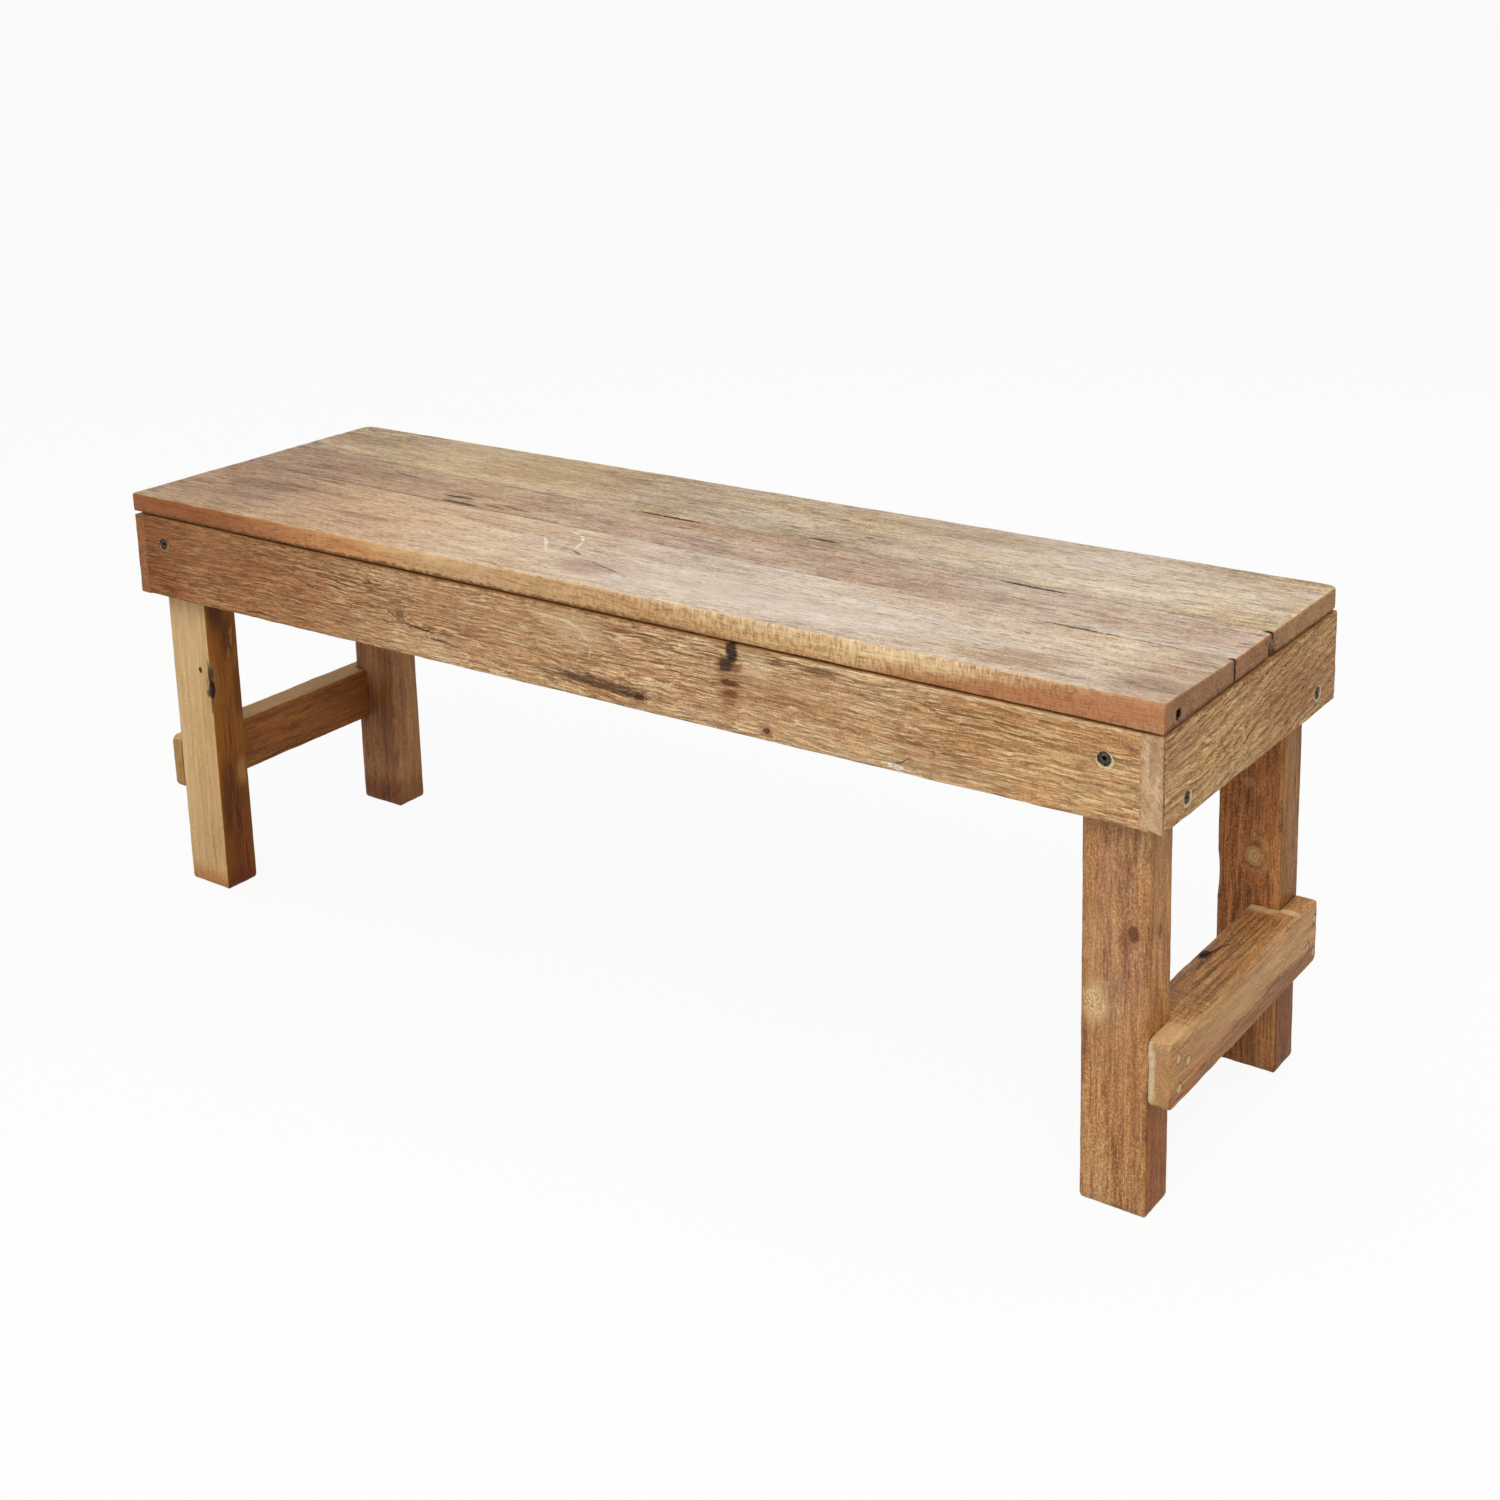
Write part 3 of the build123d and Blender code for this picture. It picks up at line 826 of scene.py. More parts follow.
middlePlankWood = timber(
    **seatWood, seed=4.3, grain=0, heart=(10, 70), ringWidth=6, sway=30, washRise=(-480, 420, .4, .9),
    tones=("6f4d38", "a28163", "cdb394"), tint="966a4e", tintAmount=.35,
    patches=[
        band(-700, -330, 170, "ece2d6", 1, ragged=500, way=top),
        band(-430, -230, 60, "e2c090", .16, ragged=200, way=top, mode="MIX"),
        band(-230, 20, 60, "f4ede4", 1, ragged=200, way=top),
        band(230, 700, 70, "e6d8c8", .1, ragged=200, way=top, mode="MIX"),
        {**shadedLowEdge, "way": right},
        band(-700, 700, 20, "f8bf90", 1, way=right)],
    knots=[knotAt((-271, -16, 450), (22, 7, 12), 9, "7a5a40", "9a7a5c", .5, .3)],
    marks=[
        stain((249, -22, 450), (70, 7, 9), "c08a66", .18, .6, grainy=.1),
        stain((-400, 20, 450), (90, 10, 9), "7c5c44", .4, .5), *slotShades],
    lines=[
        scratch((-595, -20.6, 450), (-150, -29.8, 450), 1.2, "5a4030", .5),
        scratch((420, -41.7, 450), (504, -44, 450), 1.3, "3a2618", .8),
        scratch((-300, -9, 450), (-256, -6, 450), 3, "2e1d13", .95),
        scratch((-292, -23, 450), (-236, -24.5, 450), 3, "2e1d13", .95),
        scratch((-286, -16, 450), (-262, -15, 450), 4, "d8c0a0", .6),
        scratch((-240, -14, 450), (-205, -20, 450), 2.4, "5c4230", .8),
        scratch((-221, -8, 450), (-170, -15, 450), 2, "4a3020", .75),
        scratch((-413, 33, 450), (-362, 24, 450), 2.2, "4f3624", .75),
        scratch((-330, 8, 450), (-248, 2, 450), 1.8, "5c4230", .6),
        scratch((-100, -1, 450), (-66, -6, 450), 1.8, "5c4230", .6),
        scratch((-84, 46, 450), (4, 43.6, 450), 1.6, "2e1d12", .85),
        scratch((338, 34.8, 450), (412, 32.2, 450), 1.5, "38241a", .85)])
backPlankWood = timber(
    **seatWood, seed=6.1, grain=0, heart=(-60, 60), ringWidth=5, sway=30, washRise=(-480, 480, .35, 1.1),
    tones=("6a5037", "a58861", "d0b98f"), tint="94724c", tintAmount=.4,
    patches=[
        band(180, 480, 70, "e9e0d6", .15, ragged=200, way=top, mode="MIX"),
        band(-440, -160, 60, "e2c08a", .22, ragged=200, way=top, mode="MIX"),
        {**shadedLowEdge, "way": right},
        band(-700, 700, 20, "f8d49c", 1, way=right)],
    marks=[
        *slotShades,
        stain((136, 58.5, 450), (16, 3, 5), "3a261a", .8, .4),
        stain((169, 88, 450), (5, 3, 4), "4a3020", .7, .4),
        stain((116, 126, 450), (5, 3, 4), "4a3020", .6, .4),
        stain((-209, 150, 450), (12, 4, 4), "4a3422", .5, .5)],
    lines=[
        scratch((-84, 47.6, 450), (4, 45.2, 450), 1.5, "2e1d12", .85),
        scratch((338, 36.2, 450), (412, 33.8, 450), 1.4, "38241a", .85)])

buildBoards([(frontPlank, frontPlankWood), (middlePlank, middlePlankWood), (backPlank, backPlankWood)], "seat_wood")
print("seat planks done")


# aprons: the end boards lap the ends of the long ones

brushedWear = {"swell": .7, "brush": .35, "nick": .5}
longApron = {"grain": 0, "wear": brushedWear, "arrises": [(1.6, isLengthways)], "cells": ((19, 14), (3,), (8, 5))}
screwHole = (5.8, 4.4)  # radius and depth
frontApron = {
    **longApron, "name": "frontApron", "node": "front_apron", "moves": [((1, 0, -1), (0, 0, 8))],
    "tools": [hole((x, -175, 400), front, *screwHole) for x in (-554, 550)]
             + [chip((361, -176.4, 350.4), 2.6, (2.4, 1, 1), 11)],
}
backApron = {
    **longApron, "name": "backApron", "node": "back_apron",
    "tools": [hole((x, 175, 400), back, *screwHole) for x in (-554, 550)],
}
rightEndApron = {
    "name": "rightEndApron", "node": "right_end_apron", "grain": 1, "wear": brushedWear,
    "moves": [((0, -1, -1), (0, 0, 3))],
    "block": (Vector((.58, -.175, .345)), Vector((.6, .175, .427))),
    "arrises": [(1.6, lambda middle, way: middle.x > .599)],
    "cells": ((3,), (9, 8), (8, 5)),
    "tools": [hole((600, y, 364), right, *screwHole) for y in (-132.5, 132.5)]
             + [chip((590, -176.5, 346.5), 4, (1.6, 1, 1), 9)],
}
leftEndApron = {
    "name": "leftEndApron", "node": "left_end_apron", "grain": 1, "wear": brushedWear,
    "moves": [((0, 1, -1), (0, 0, 5))],
    "arrises": [(3.5, lambda middle, way: middle.x < -.599)],
    "cells": ((2,), (9, 8), (8, 5)),
    "tools": [hole((-600, y, 364), left, *screwHole) for y in (-132.5, 132.5)],
}


def screwMarks(places, way, rimColour="ecd4a8"):
    # a pale crushed rim, a little beside each screw, and a burnt ring round it
    marks = []
    for place in places:
        rim = [a + b for a, b in zip(place, (way[1] * -.8, way[0] * .8, -1.2))]
        marks += [
            stain(rim, (8.6, 8.6, 8.6), "6b4526", .55, .1),
            stain(rim, (7.7, 7.7, 7.7), rimColour, .9, .08),
            stain(place, (6, 6, 6), "2a1b10", .85, .06)]
    return marks


brushedWood = {
    "ringContrast": .14, "fibreContrast": .6, "strandContrast": .62, "cloudContrast": .85, "gritContrast": 1.4,
    "fibreCount": .8, "fibreRun": .036, "fibreSoft": .09, "strandCount": .32, "ripple": 6, "relief": .8,
    "hairCount": .26, "hairWidth": .05, "hairContrast": -.34,
    "roughness": .68, "washAmount": .35, "wash": "e6d0ac", "ridgeHighlights": .3, "poreAmount": .4, "smudge": .16,
    "rub": "ddbf92", "rubAmount": .55, "dirt": "4a2d18", "dirtAmount": .5,
}
# painted shade just under the shadow gap: dark bands on the outer faces, a pale line at the top of the front face
# towards its right, and a plain brown on the hidden top face
shadowGapBands = [
    band(-700, 700, 20, "c48a54", .95, way=top, mode="MIX"),
    band(425.8, 500, 1, "6a421f", .7, nibble=9, way=front, axis=2, span=(330, 60), mode="MIX"),
    band(424.4, 500, 1, "f6dcae", .55, nibble=8, way=front, axis=2, span=(150, 420), mode="MIX"),
    band(425.8, 500, 1, "6a421f", .7, nibble=9, way=right, axis=2, mode="MIX")]
frontApronWood = timber(
    **brushedWood, seed=11.2, grain=0, heart=(60, 30), ringWidth=5.5, sway=30,
    tones=("784a2a", "d4a272", "f8dcac"), tint="b97e50", tintAmount=.4,
    patches=[
        band(-700, -290, 120, "d8bfaa", 1, ragged=350),
        band(390, 700, 60, "f6ecde", 1, ragged=200),
        band(210, 400, 40, "f8d8a8", .09, ragged=100, mode="MIX"),
        band(-700, -540, 60, "dcc2ae", 1, ragged=120),
        *shadowGapBands],
    knots=[
        knotAt((-206, -175, 383), (5, 9, 4), 8, "5a4028", "93673f", .6, .4),
        knotAt((92, -175, 358), (6, 9, 3.5), 5, "2a1a12", "6e4327", .85, .5),
        knotAt((231, -175, 355), (4, 8, 3), 4, "2a1a12", "7d4d2c", .85, .4)],
    marks=[
        stain((-160, -175, 377), (46, 9, 6), "5a3820", .7, .4, grainy=.1),
        stain((-300, -175, 405), (70, 9, 8), "6a4226", .6, .5, grainy=.1),
        stain((60, -175, 360), (46, 9, 4.5), "553623", .6, .5, grainy=.3),
        stain((8, -175, 365), (34, 9, 5), "5a3a27", .6, .6, grainy=.3),
        stain((36, -175, 363), (44, 9, 6), "5a3a27", .5, .6, grainy=.3),
        stain((361, -175, 351.6), (8, 9, 2), "fbf3e2", .95, .2),
        stain((105, -175, 413), (80, 9, 8), "6e4529", .6, .5, grainy=.1),
        stain((265, -175, 421), (60, 9, 6), "6b4226", .6, .5, grainy=.1),
        stain((430, -175, 408), (70, 9, 7), "7a4c2a", .5, .5, grainy=.1),
        stain((20, -175, 408), (30, 9, 15), "edd5a9", .45, .5, grainy=.14),
        stain((222, -175, 410), (14, 9, 12), "ecd0a2", .6, .5, grainy=.14),
        stain((196, -175, 420), (6, 9, 11), "1a110c", .9, .3, sink=.3),
        stain((189, -175, 407), (8, 9, 7), "2c1a12", .85, .4, sink=.2),
        stain((200, -175, 406), (5, 9, 5), "8a5c3c", .6, .4),
        stain((192, -175, 398.5), (10, 9, 2.6), "d2a77c", .6, .4),
        stain((193, -175, 391), (9, 9, 3.2), "5a3422", .8, .4),
        stain((193, -175, 381), (9, 9, 3.2), "7a4a30", .75, .4),
        stain((192, -175, 373), (7, 9, 2.6), "8d5a3a", .6, .4),
        stain((193, -175, 400), (15, 9, 30), "b88a68", .4, .6, mode="MULTIPLY"),
        *screwMarks([(-554, -175, 400)], front, "b88660"), *screwMarks([(550, -175, 400)], front)],
    lines=[
        scratch((-200, -175, 375), (-158, -175, 371), 1.2, "3a2416", .8),
        scratch((-176, -175, 367), (-124, -175, 363), 1.3, "3a2416", .7),
        scratch((-224, -175, 384), (-208, -175, 379), 1, "3a2416", .6),
        scratch((-8, -175, 366), (44, -175, 361), 3, "5a3a24", .4),
        scratch((30, -175, 361), (104, -175, 357), 3.6, "50331f", .5),
        scratch((66, -175, 359), (96, -175, 357), 1.6, "2e1c12", .6),
        scratch((-32, -175, 416), (0, -175, 415), 1.4, "f3e0bb", .6),
        scratch((0, -175, 416), (26, -175, 409), 1.4, "f3e0bb", .6),
        scratch((24, -175, 408), (36, -175, 398), 1.3, "f3e0bb", .6),
        scratch((36, -175, 397), (35, -175, 384), 1.2, "f3e0bb", .5),
        scratch((356, -175, 351), (378, -175, 363), .8, "5a3a24", .8)])
backApronWood = timber(
    **brushedWood, seed=13.4, grain=0, heart=(-50, 30), ringWidth=5, sway=30,
    tones=("60391c", "aa7b4e", "dcb98a"), patches=shadowGapBands,
    knots=[
        knotAt((140, 175, 380), (8, 9, 6), 8, "33231a", "8a5c3a", .85, .5),
        knotAt((-330, 175, 402), (5, 9, 4), 5, "2a1a12", "7d4d2c", .85, .5)],
    marks=[
        stain((-60, 175, 395), (90, 9, 9), "6a4226", .6, .5, grainy=.1),
        stain((380, 175, 370), (80, 9, 8), "6a4226", .6, .5, grainy=.1),
        *screwMarks([(x, 175, 400) for x in (-554, 550)], back)])
rightEndWood = timber(
    **{**brushedWood, "ringContrast": .34, "fibreContrast": .5, "strandContrast": .7, "strandCount": .34,
       "gritContrast": 2.2, "gritRun": .7, "gritCount": .8},
    seed=15.9, grain=1, heart=(55, 62), lean=(0, 0, .08), ringWidth=5, sway=46,
    tones=("7c502e", "d6a46c", "f8d8a2"), endColour="eec297", endAmount=.8,
    # the far half of the outer face is a little darker than the near half: painted shade
    patches=[band(5, 700, 60, "f0e6de", 1, ragged=60, way=right),
             band(-700, 5, 60, "f9f4ed", 1, ragged=60, way=right), *shadowGapBands],
    marks=[
        stain((586, -175, 398), (2.4, 4, 26), "f4e2bf", .75, .5),
        stain((594, -175, 380), (2, 4, 34), "f4e2bf", .6, .5),
        stain((589, -175, 356), (6, 4, 7), "eed9b4", .5, .6),
        stain((592, -175, 408), (4, 4, 15), "84582f", .65, .5),
        stain((585, -175, 376), (3, 4, 17), "8f643a", .6, .5),
        stain((594, -175, 360), (3, 4, 9), "8a5e36", .6, .5),
        *screwMarks([(600, y, 364) for y in (-132.5, 132.5)], right)],
    lines=[
        scratch((580.6, -175, 432), (580.6, -175, 342), 1.2, "6b4022", .85),
        scratch((599.4, -174.4, 430), (599.4, -174.4, 345), 1.5, "744526", .75),
        scratch((590, -175, 424), (588, -175, 386), .9, "7d5230", .7),
        scratch((597, -175, 415), (596, -175, 352), .8, "7d5230", .6)])
leftEndWood = timber(
    **brushedWood, seed=17.5, grain=1, heart=(-40, 50), ringWidth=5, sway=30,
    tones=("5a351a", "9c6c42", "cba478"), endColour="b8703f", endAmount=.8, patches=shadowGapBands,
    marks=screwMarks([(-600, y, 364) for y in (-132.5, 132.5)], left))
buildBoards([(frontApron, frontApronWood), (backApron, backApronWood),
             (rightEndApron, rightEndWood), (leftEndApron, leftEndWood)], "apron_wood")
print("aprons done")


# legs: one pale, one with a hollow in its arris

legShape = {
    "grain": 2, "wear": {"swell": .8, "brush": .08, "nick": .3}, "cells": ((6, 3), (4, 3), (11, 8)),
    "arrises": [(4.5, lambda middle, way: middle.z < .01), (2.5, lambda middle, way: abs(way.z) > .9)],
}
legTools = {
    "front_left_leg": [chip((-522.5, -154, 234), 2.2, (1, 1, 2.6), 3), hole((-540, -153, 254), front, 1.3, 3)],
    "back_right_leg": [
        {"cut": cutHollow, "at": (520, 112, 182), "way": (1, 1, 0), "roller": (1, -1, 0), "length": 56, "depth": 4}],
}
smoothWood = {
    "ripple": 5, "sway": 24, "ringWidth": 11, "fibreContrast": .36, "fibreCount": .5, "fibreRun": .02,
    "strandContrast": 1.3, "strandCount": .13, "poreAmount": .26, "hairContrast": .24, "cloudContrast": 1.2,
    "gritContrast": 2.2, "gritRun": .42, "gritCount": .6, "smudge": .1, "ridgeHighlights": .42, "rubAmount": .22,
    "relief": .22, "roughness": .5,
}
legWoods = {
    "front_left_leg": timber(**{
        **smoothWood, "seed": 21.0, "grain": 2, "heart": (70, 40), "fibreContrast": .12, "strandContrast": .6,
        "strandCount": .24, "gritContrast": .8, "smudge": .05, "poreAmount": .15, "cloudContrast": .7, "ridgeHighlights": .1,
        "tones": ("a87d48", "d2a974", "ecd3a4"), "tint": "bd9259", "tintAmount": .35, "washAmount": .15,
        "rub": "e9cf9f", "rubAmount": .2, "dirtAmount": .05, "hairContrast": .06,
        "patches": [
            band(-90, 16, 14, "e0bf98", 1, nibble=30),
            # the right and back faces, which look in under the bench, are darker: partly the leg's own tone, partly
            # painted shade
            band(-90, 700, 20, "a97f36", 1, way=right),
            band(-90, 120, 60, "e4d0b4", 1, nibble=60, way=right),
            band(-90, 700, 20, "9a7348", 1, way=back)],
        "marks": [
            stain((-527, -153, 240), (9, 8, 30), "a8845a", .25, .6),
            stain((-529, -153, 230), (3, 4, 5), "3a2818", .8, .35),
            stain((-525, -153, 252), (2.6, 5, 9), "3a2818", .8, .3),
            stain((-524, -153, 234), (3.8, 5, 11), "140c08", 1, .25),
            stain((-540, -153, 254), (2.6, 4, 3), "33241a", .9, .3),
            stain((-524, -123, 292), (4, 2, 4), "c09664", .4, .4),
            stain((-524, -135, 170), (9, 7, 120), "8a6444", .6, .6, mode="MULTIPLY", grainy=.1),
            stain((-524, -128, 60), (9, 9, 60), "8a6444", .6, .6, mode="MULTIPLY", grainy=.1),
            stain((-524, -127, 285), (9, 8, 22), "9a7450", .6, .5, mode="MULTIPLY"),
            stain((-524, -116, 225), (9, 9, 30), "a07a52", .7, .5, mode="MULTIPLY"),
            stain((-524, -140, 320), (9, 9, 26), "8a6242", .7, .6, mode="MULTIPLY"),
            stain((-524, -144, 105), (9, 6, 40), "8a6242", .6, .6, mode="MULTIPLY"),
            stain((-524, -120, 130), (9, 8, 14), "c89a62", .4, .6, grainy=.2),
            stain((-524, -126, 268), (4, 2, 6), "b88c5c", .35, .4)],
        "lines": [
            scratch((-524, -120, 302), (-524, -122, 274), 1.6, "b88c5e", .5),
            scratch((-545, -153, 80), (-541, -153, 20), 1.6, "a07a50", .6),
            scratch((-527, -153, 272), (-525, -153, 205), 1.5, "3f2a19", .8),
            scratch((-531, -153, 250), (-529, -153, 226), 1, "5a3f26", .7)]}),
    "back_left_leg": timber(
        **smoothWood, seed=23.0, grain=2, heart=(50, 60), tones=("56301a", "9c6135", "c89058"), tint="6f4526",
        tintAmount=.4, washAmount=.12,
        patches=[band(-90, 30, 16, "c9b09a", 1, nibble=30),
                 band(-90, 700, 20, "dcab7a", .12, way=right, mode="MIX")],
        marks=[
            # a pale cloud on the front face: painted sheen
            stain((-556, 112, 168), (26, 9, 17), "b8906a", .4, .7),
            stain((-566, 112, 118), (14, 9, 26), "5a3520", .35, .7),
            stain((-540, 112, 96), (7, 9, 50), "5a3520", .45, .7)]),
    "front_right_leg": timber(
        **{**smoothWood, "fibreContrast": .26, "gritContrast": 2.6, "hairContrast": .16}, seed=25.0,
        grain=2, heart=(60, 70), tones=("704124", "b07a48", "d8ad76"), tint="a4683f",
        tintAmount=.4, washAmount=.22,
        patches=[band(-90, 110, 20, "e2be78", 1, nibble=30, way=right),
                 band(110, 700, 20, "fff4d7", 1, way=right)],
        knots=[
            knotAt((566, -153, 248), (4.5, 9, 8), 6, "4a2a19", "8a5634", .85, .4),
            knotAt((580, -134, 247), (7, 3, 7), 3, "5c3620", "96603c", .8, .3)],
        marks=[
            stain((533, -153, 180), (12, 8, 19), "d2aa7a", .6, .7, grainy=.3),
            stain((533, -153, 179), (10, 8, 15), "ecd6ae", .7, .4, speckled=(.49, .57)),
            stain((531, -153, 179), (10, 8, 6), "8a5c38", .5, .5, speckled=(.5, .42))]),
    "back_right_leg": timber(
        **smoothWood, seed=27.0, grain=2, heart=(-50, 50), tones=("673e22", "b87a4a", "e0ad74"), tint="96603a",
        tintAmount=.4, washAmount=.15,
        patches=[band(-90, 700, 20, "fff4e2", 1, way=front),
                 band(-90, 110, 20, "bf9a4a", 1, nibble=30, way=right),
                 band(110, 700, 20, "d5ceaa", 1, way=right)],
        knots=[knotAt((555, 112, 208), (8, 9, 9), 11, "d9b07a", "8f6036", .85, .2)],
        marks=[
            stain((558, 112, 222), (5, 8, 4), "5a3820", .5, .4),
            stain((555, 112, 209), (15, 8, 17), "cfa472", .35, .2, ring=.82),
            stain((548, 112, 277), (5, 8, 5), "bd9160", .5, .4)]),
}
for node, recipe in legWoods.items():
    words = node.split("_")
    leg = {**legShape, "name": words[0] + words[1].title() + "Leg", "node": node, "tools": legTools.get(node, [])}
    buildBoards([(leg, recipe)], "pale_leg_wood" if node == "front_left_leg" else "leg_wood")
print("legs done")


# stretchers: the tongues lap the legs, the thicker middle fits between them

def growMiddle(piece, board):
    # two cuts across at the shoulders, and the inner face between them drawn inwards
    inward, middle, shoulder = board["inward"], board["middle"] * mm, board["shoulder"] * mm
    for side in (-1, 1):
        startEdit(piece, "FACE")
        bpy.ops.mesh.select_all(action="SELECT")
        bpy.ops.mesh.bisect(plane_co=(0, side * shoulder, 0), plane_no=(0, 1, 0))
        endEdit()
    pick(piece, "FACE", lambda face: face.normal.x * inward > .9 and abs(face.calc_center_median().y) < shoulder / 2)
    bpy.ops.mesh.extrude_region_move(TRANSFORM_OT_translate={"value": (inward * middle, 0, 0)})
    endEdit()


stretcherShape = {
    "grain": 1, "wear": {"swell": .7, "brush": .08, "nick": .7}, "shape": growMiddle, "shoulder": 111.8,
    "arrises": [(1.8, lambda middle, way: abs(way.z) < .9 or abs(middle.y) > .14)],
    "cells": ((5,), (7, 5, 1), (9, 1)),
}
stretcherHeight = 60
plugHole = (4.2, 5)  # radius and depth
# a tongue's outer and inner end along Y, and the plugs' shares of its length and height from there
tongues = [((-153, -112), [(.40, .67), (.86, .50), (.46, .22)]), ((153, 112), [(.50, .34), (.16, .17), (.16, .70)])]


def plugPlaces(face, bottom):
    places = []
    for (outside, inside), shares in tongues:
        for along, high in shares:
            places.append((face, outside + along * (inside - outside), bottom + high * stretcherHeight))
    return places


def plugMarks(places):
    return [stain(place, (5.2, 5.2, 5.2), "5f3d22", .6, .12) for place in places]


rightPlugs, leftPlugs = plugPlaces(599, 102), plugPlaces(-599, 107)
rightStretcher = {
    **stretcherShape, "name": "rightStretcher", "node": "right_stretcher", "inward": -1, "middle": 27,
    "block": (Vector((.58, -.153, .102)), Vector((.599, .153, .162))),
    "corners": [((y, z), 7, (1, 2)) for y in (-153, 153) for z in (102, 162)],
    "tools": [hole(place, right, *plugHole) for place in rightPlugs]
             + [crack((557, -6, 162), (563, 8, 162), 2.2, 3, 17)],
}
leftStretcher = {
    **stretcherShape, "name": "leftStretcher", "node": "left_stretcher", "inward": 1, "middle": 17,
    "block": (Vector((-.599, -.153, .107)), Vector((-.584, .153, .167))),
    "corners": [((y, z), 7, (1, 2)) for y in (-153, 153) for z in (107, 167)],
    "tools": [hole(place, left, *plugHole) for place in leftPlugs],
}
rightStretcherWood = timber(
    **smoothWood, seed=31.0, grain=1, heart=(50, 60), tones=("754a28", "bb864b", "e3b272"), washAmount=.2,
    endColour="b98f62", endAmount=.6,
    patches=[
        band(-700, 700, 20, "fcf8f6", 1, way=top),
        band(-700, 700, 20, "fff9e6", 1, way=right),
        band(100, 116, 8, "c8b098", .8, nibble=9, way=right, axis=2)],
    sawn=[{"way": top, "steps": [(1, -40, -80), (1, -125, -110)], "count": .5, "across": .03, "amount": .6,
           "colour": "6b4526", "depth": .25}],
    marks=[
        stain((582, -153, 132), (4.5, 5, 29), "f0dfbb", .85, .3),
        stain((559, 0, 162), (5, 8, 4), "1f140d", .95, .2),
        stain((566, 108, 162), (15, 9, 4), "e6cc9d", .75, .5, grainy=.2),
        stain((590, 112, 162), (9, 5, 4), "e6cc9d", .6, .4),
        stain((590, -135, 162), (12, 16, 4), "dcbc8e", .5, .5, grainy=.3),
        stain((599, 40, 142), (9, 100, 13), "cfa878", .4, .8),
        stain((599, -60, 134), (9, 60, 14), "c79c6a", .35, .8),
        stain((599, 70, 112), (9, 110, 7), "6b4526", .4, .7),
        *plugMarks(rightPlugs)],
    lines=[
        scratch((560, 0, 162), (569, 30, 162), 1.8, "2e1d12", .85),
        scratch((559, 0, 162), (566, -30, 162), 1.2, "4a2f1c", .7),
        scratch((562, -60, 162), (568, 108, 162), 1.3, "5a3a20", .7),
        scratch((574, -100, 162), (580, 90, 162), 1.4, "5f3d22", .65),
        scratch((584, -60, 162), (587, 60, 162), 1.1, "6b482a", .5),
        scratch((599, -90, 118), (599, 130, 121), 1, "5f3d22", .6)])
leftStretcherWood = timber(
    **smoothWood, seed=33.0, grain=1, heart=(50, 60), tones=("5f371c", "9a6338", "c49160"), washAmount=.1,
    endColour="bc945a", endAmount=.85,
    patches=[band(-700, 700, 20, "ecbd7c", .6, way=top, mode="MIX"),
             band(-700, 700, 20, "efd4a0", 1, way=right)],
    marks=plugMarks(leftPlugs))
buildBoards([(rightStretcher, rightStretcherWood), (leftStretcher, leftStretcherWood)], "stretcher_wood")
print("stretchers done")


# battens keep their CAD shape under the seat

def coatNodes(nodes, material):
    for node in nodes:
        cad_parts[node].data.materials.clear()
        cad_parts[node].data.materials.append(material)


battenWood = woodMaterial("battenWood", timber(
    seed=41.0, grain=1, heart=(30, 50), ringWidth=6, sway=20, tones=("63421f", "a07749", "c9a472"), relief=.3,
    fibreContrast=.5, strandContrast=1.2, roughness=.75))
coatNodes(("left_seat_batten", "centre_seat_batten", "right_seat_batten"), battenWood)


# screws and plugs

def steelMaterial(name, steel):
    material, bench = startMaterial(name)
    spot = placeInMm(bench)
    blotch = spot.scaled(.5).noise(4, .6, 3)
    speck = spot.scaled(2.4).noise(2, .5, 9)
    colour = bench.blend(blotch.smooth(.4, .65), steel["dark"], steel["light"])
    # the sunk parts of the head, darkened as painted shade
    hollow = bench.node("Attribute", {"attribute_name": "arrisWear"}, {}, "Fac")
    colour = bench.blend(hollow, colour, steel["deep"])
    endMaterial(bench, colour, steel["roughness"] + (speck - .5) * .3, blotch * .1 + speck * .05, steel)
    return material


screwSteel = steelMaterial("screwSteel", {
    "dark": "302c26", "light": "625c4c", "deep": "0b0a09", "metal": .35, "gloss": .35, "roughness": .5})
coatNodes(("stretcher_screws", "batten_screws", "seat_screws"), screwSteel)
apronScrew = {"radius": 5.5, "head": .6, "rim": .8, "rimDepth": .45, "groove": .8, "ringRise": .4, "bossInset": 1.1,
              "bossRise": .25, "coneDepth": 2.9, "shank": 3.4, "shankLength": 48, "tipLength": 4, "tipScale": .3,
              "bevel": .1, "socket": 2.4, "socketDepth": 2.4}
# how dark the head is painted, as shade in its socket and groove, at a distance from its middle and a depth: least,
# most and amount
screwRecessShade = [((0, 2.6), (.4, 3), 1.0), ((4.1, 5.3), (.36, .52), .75)]


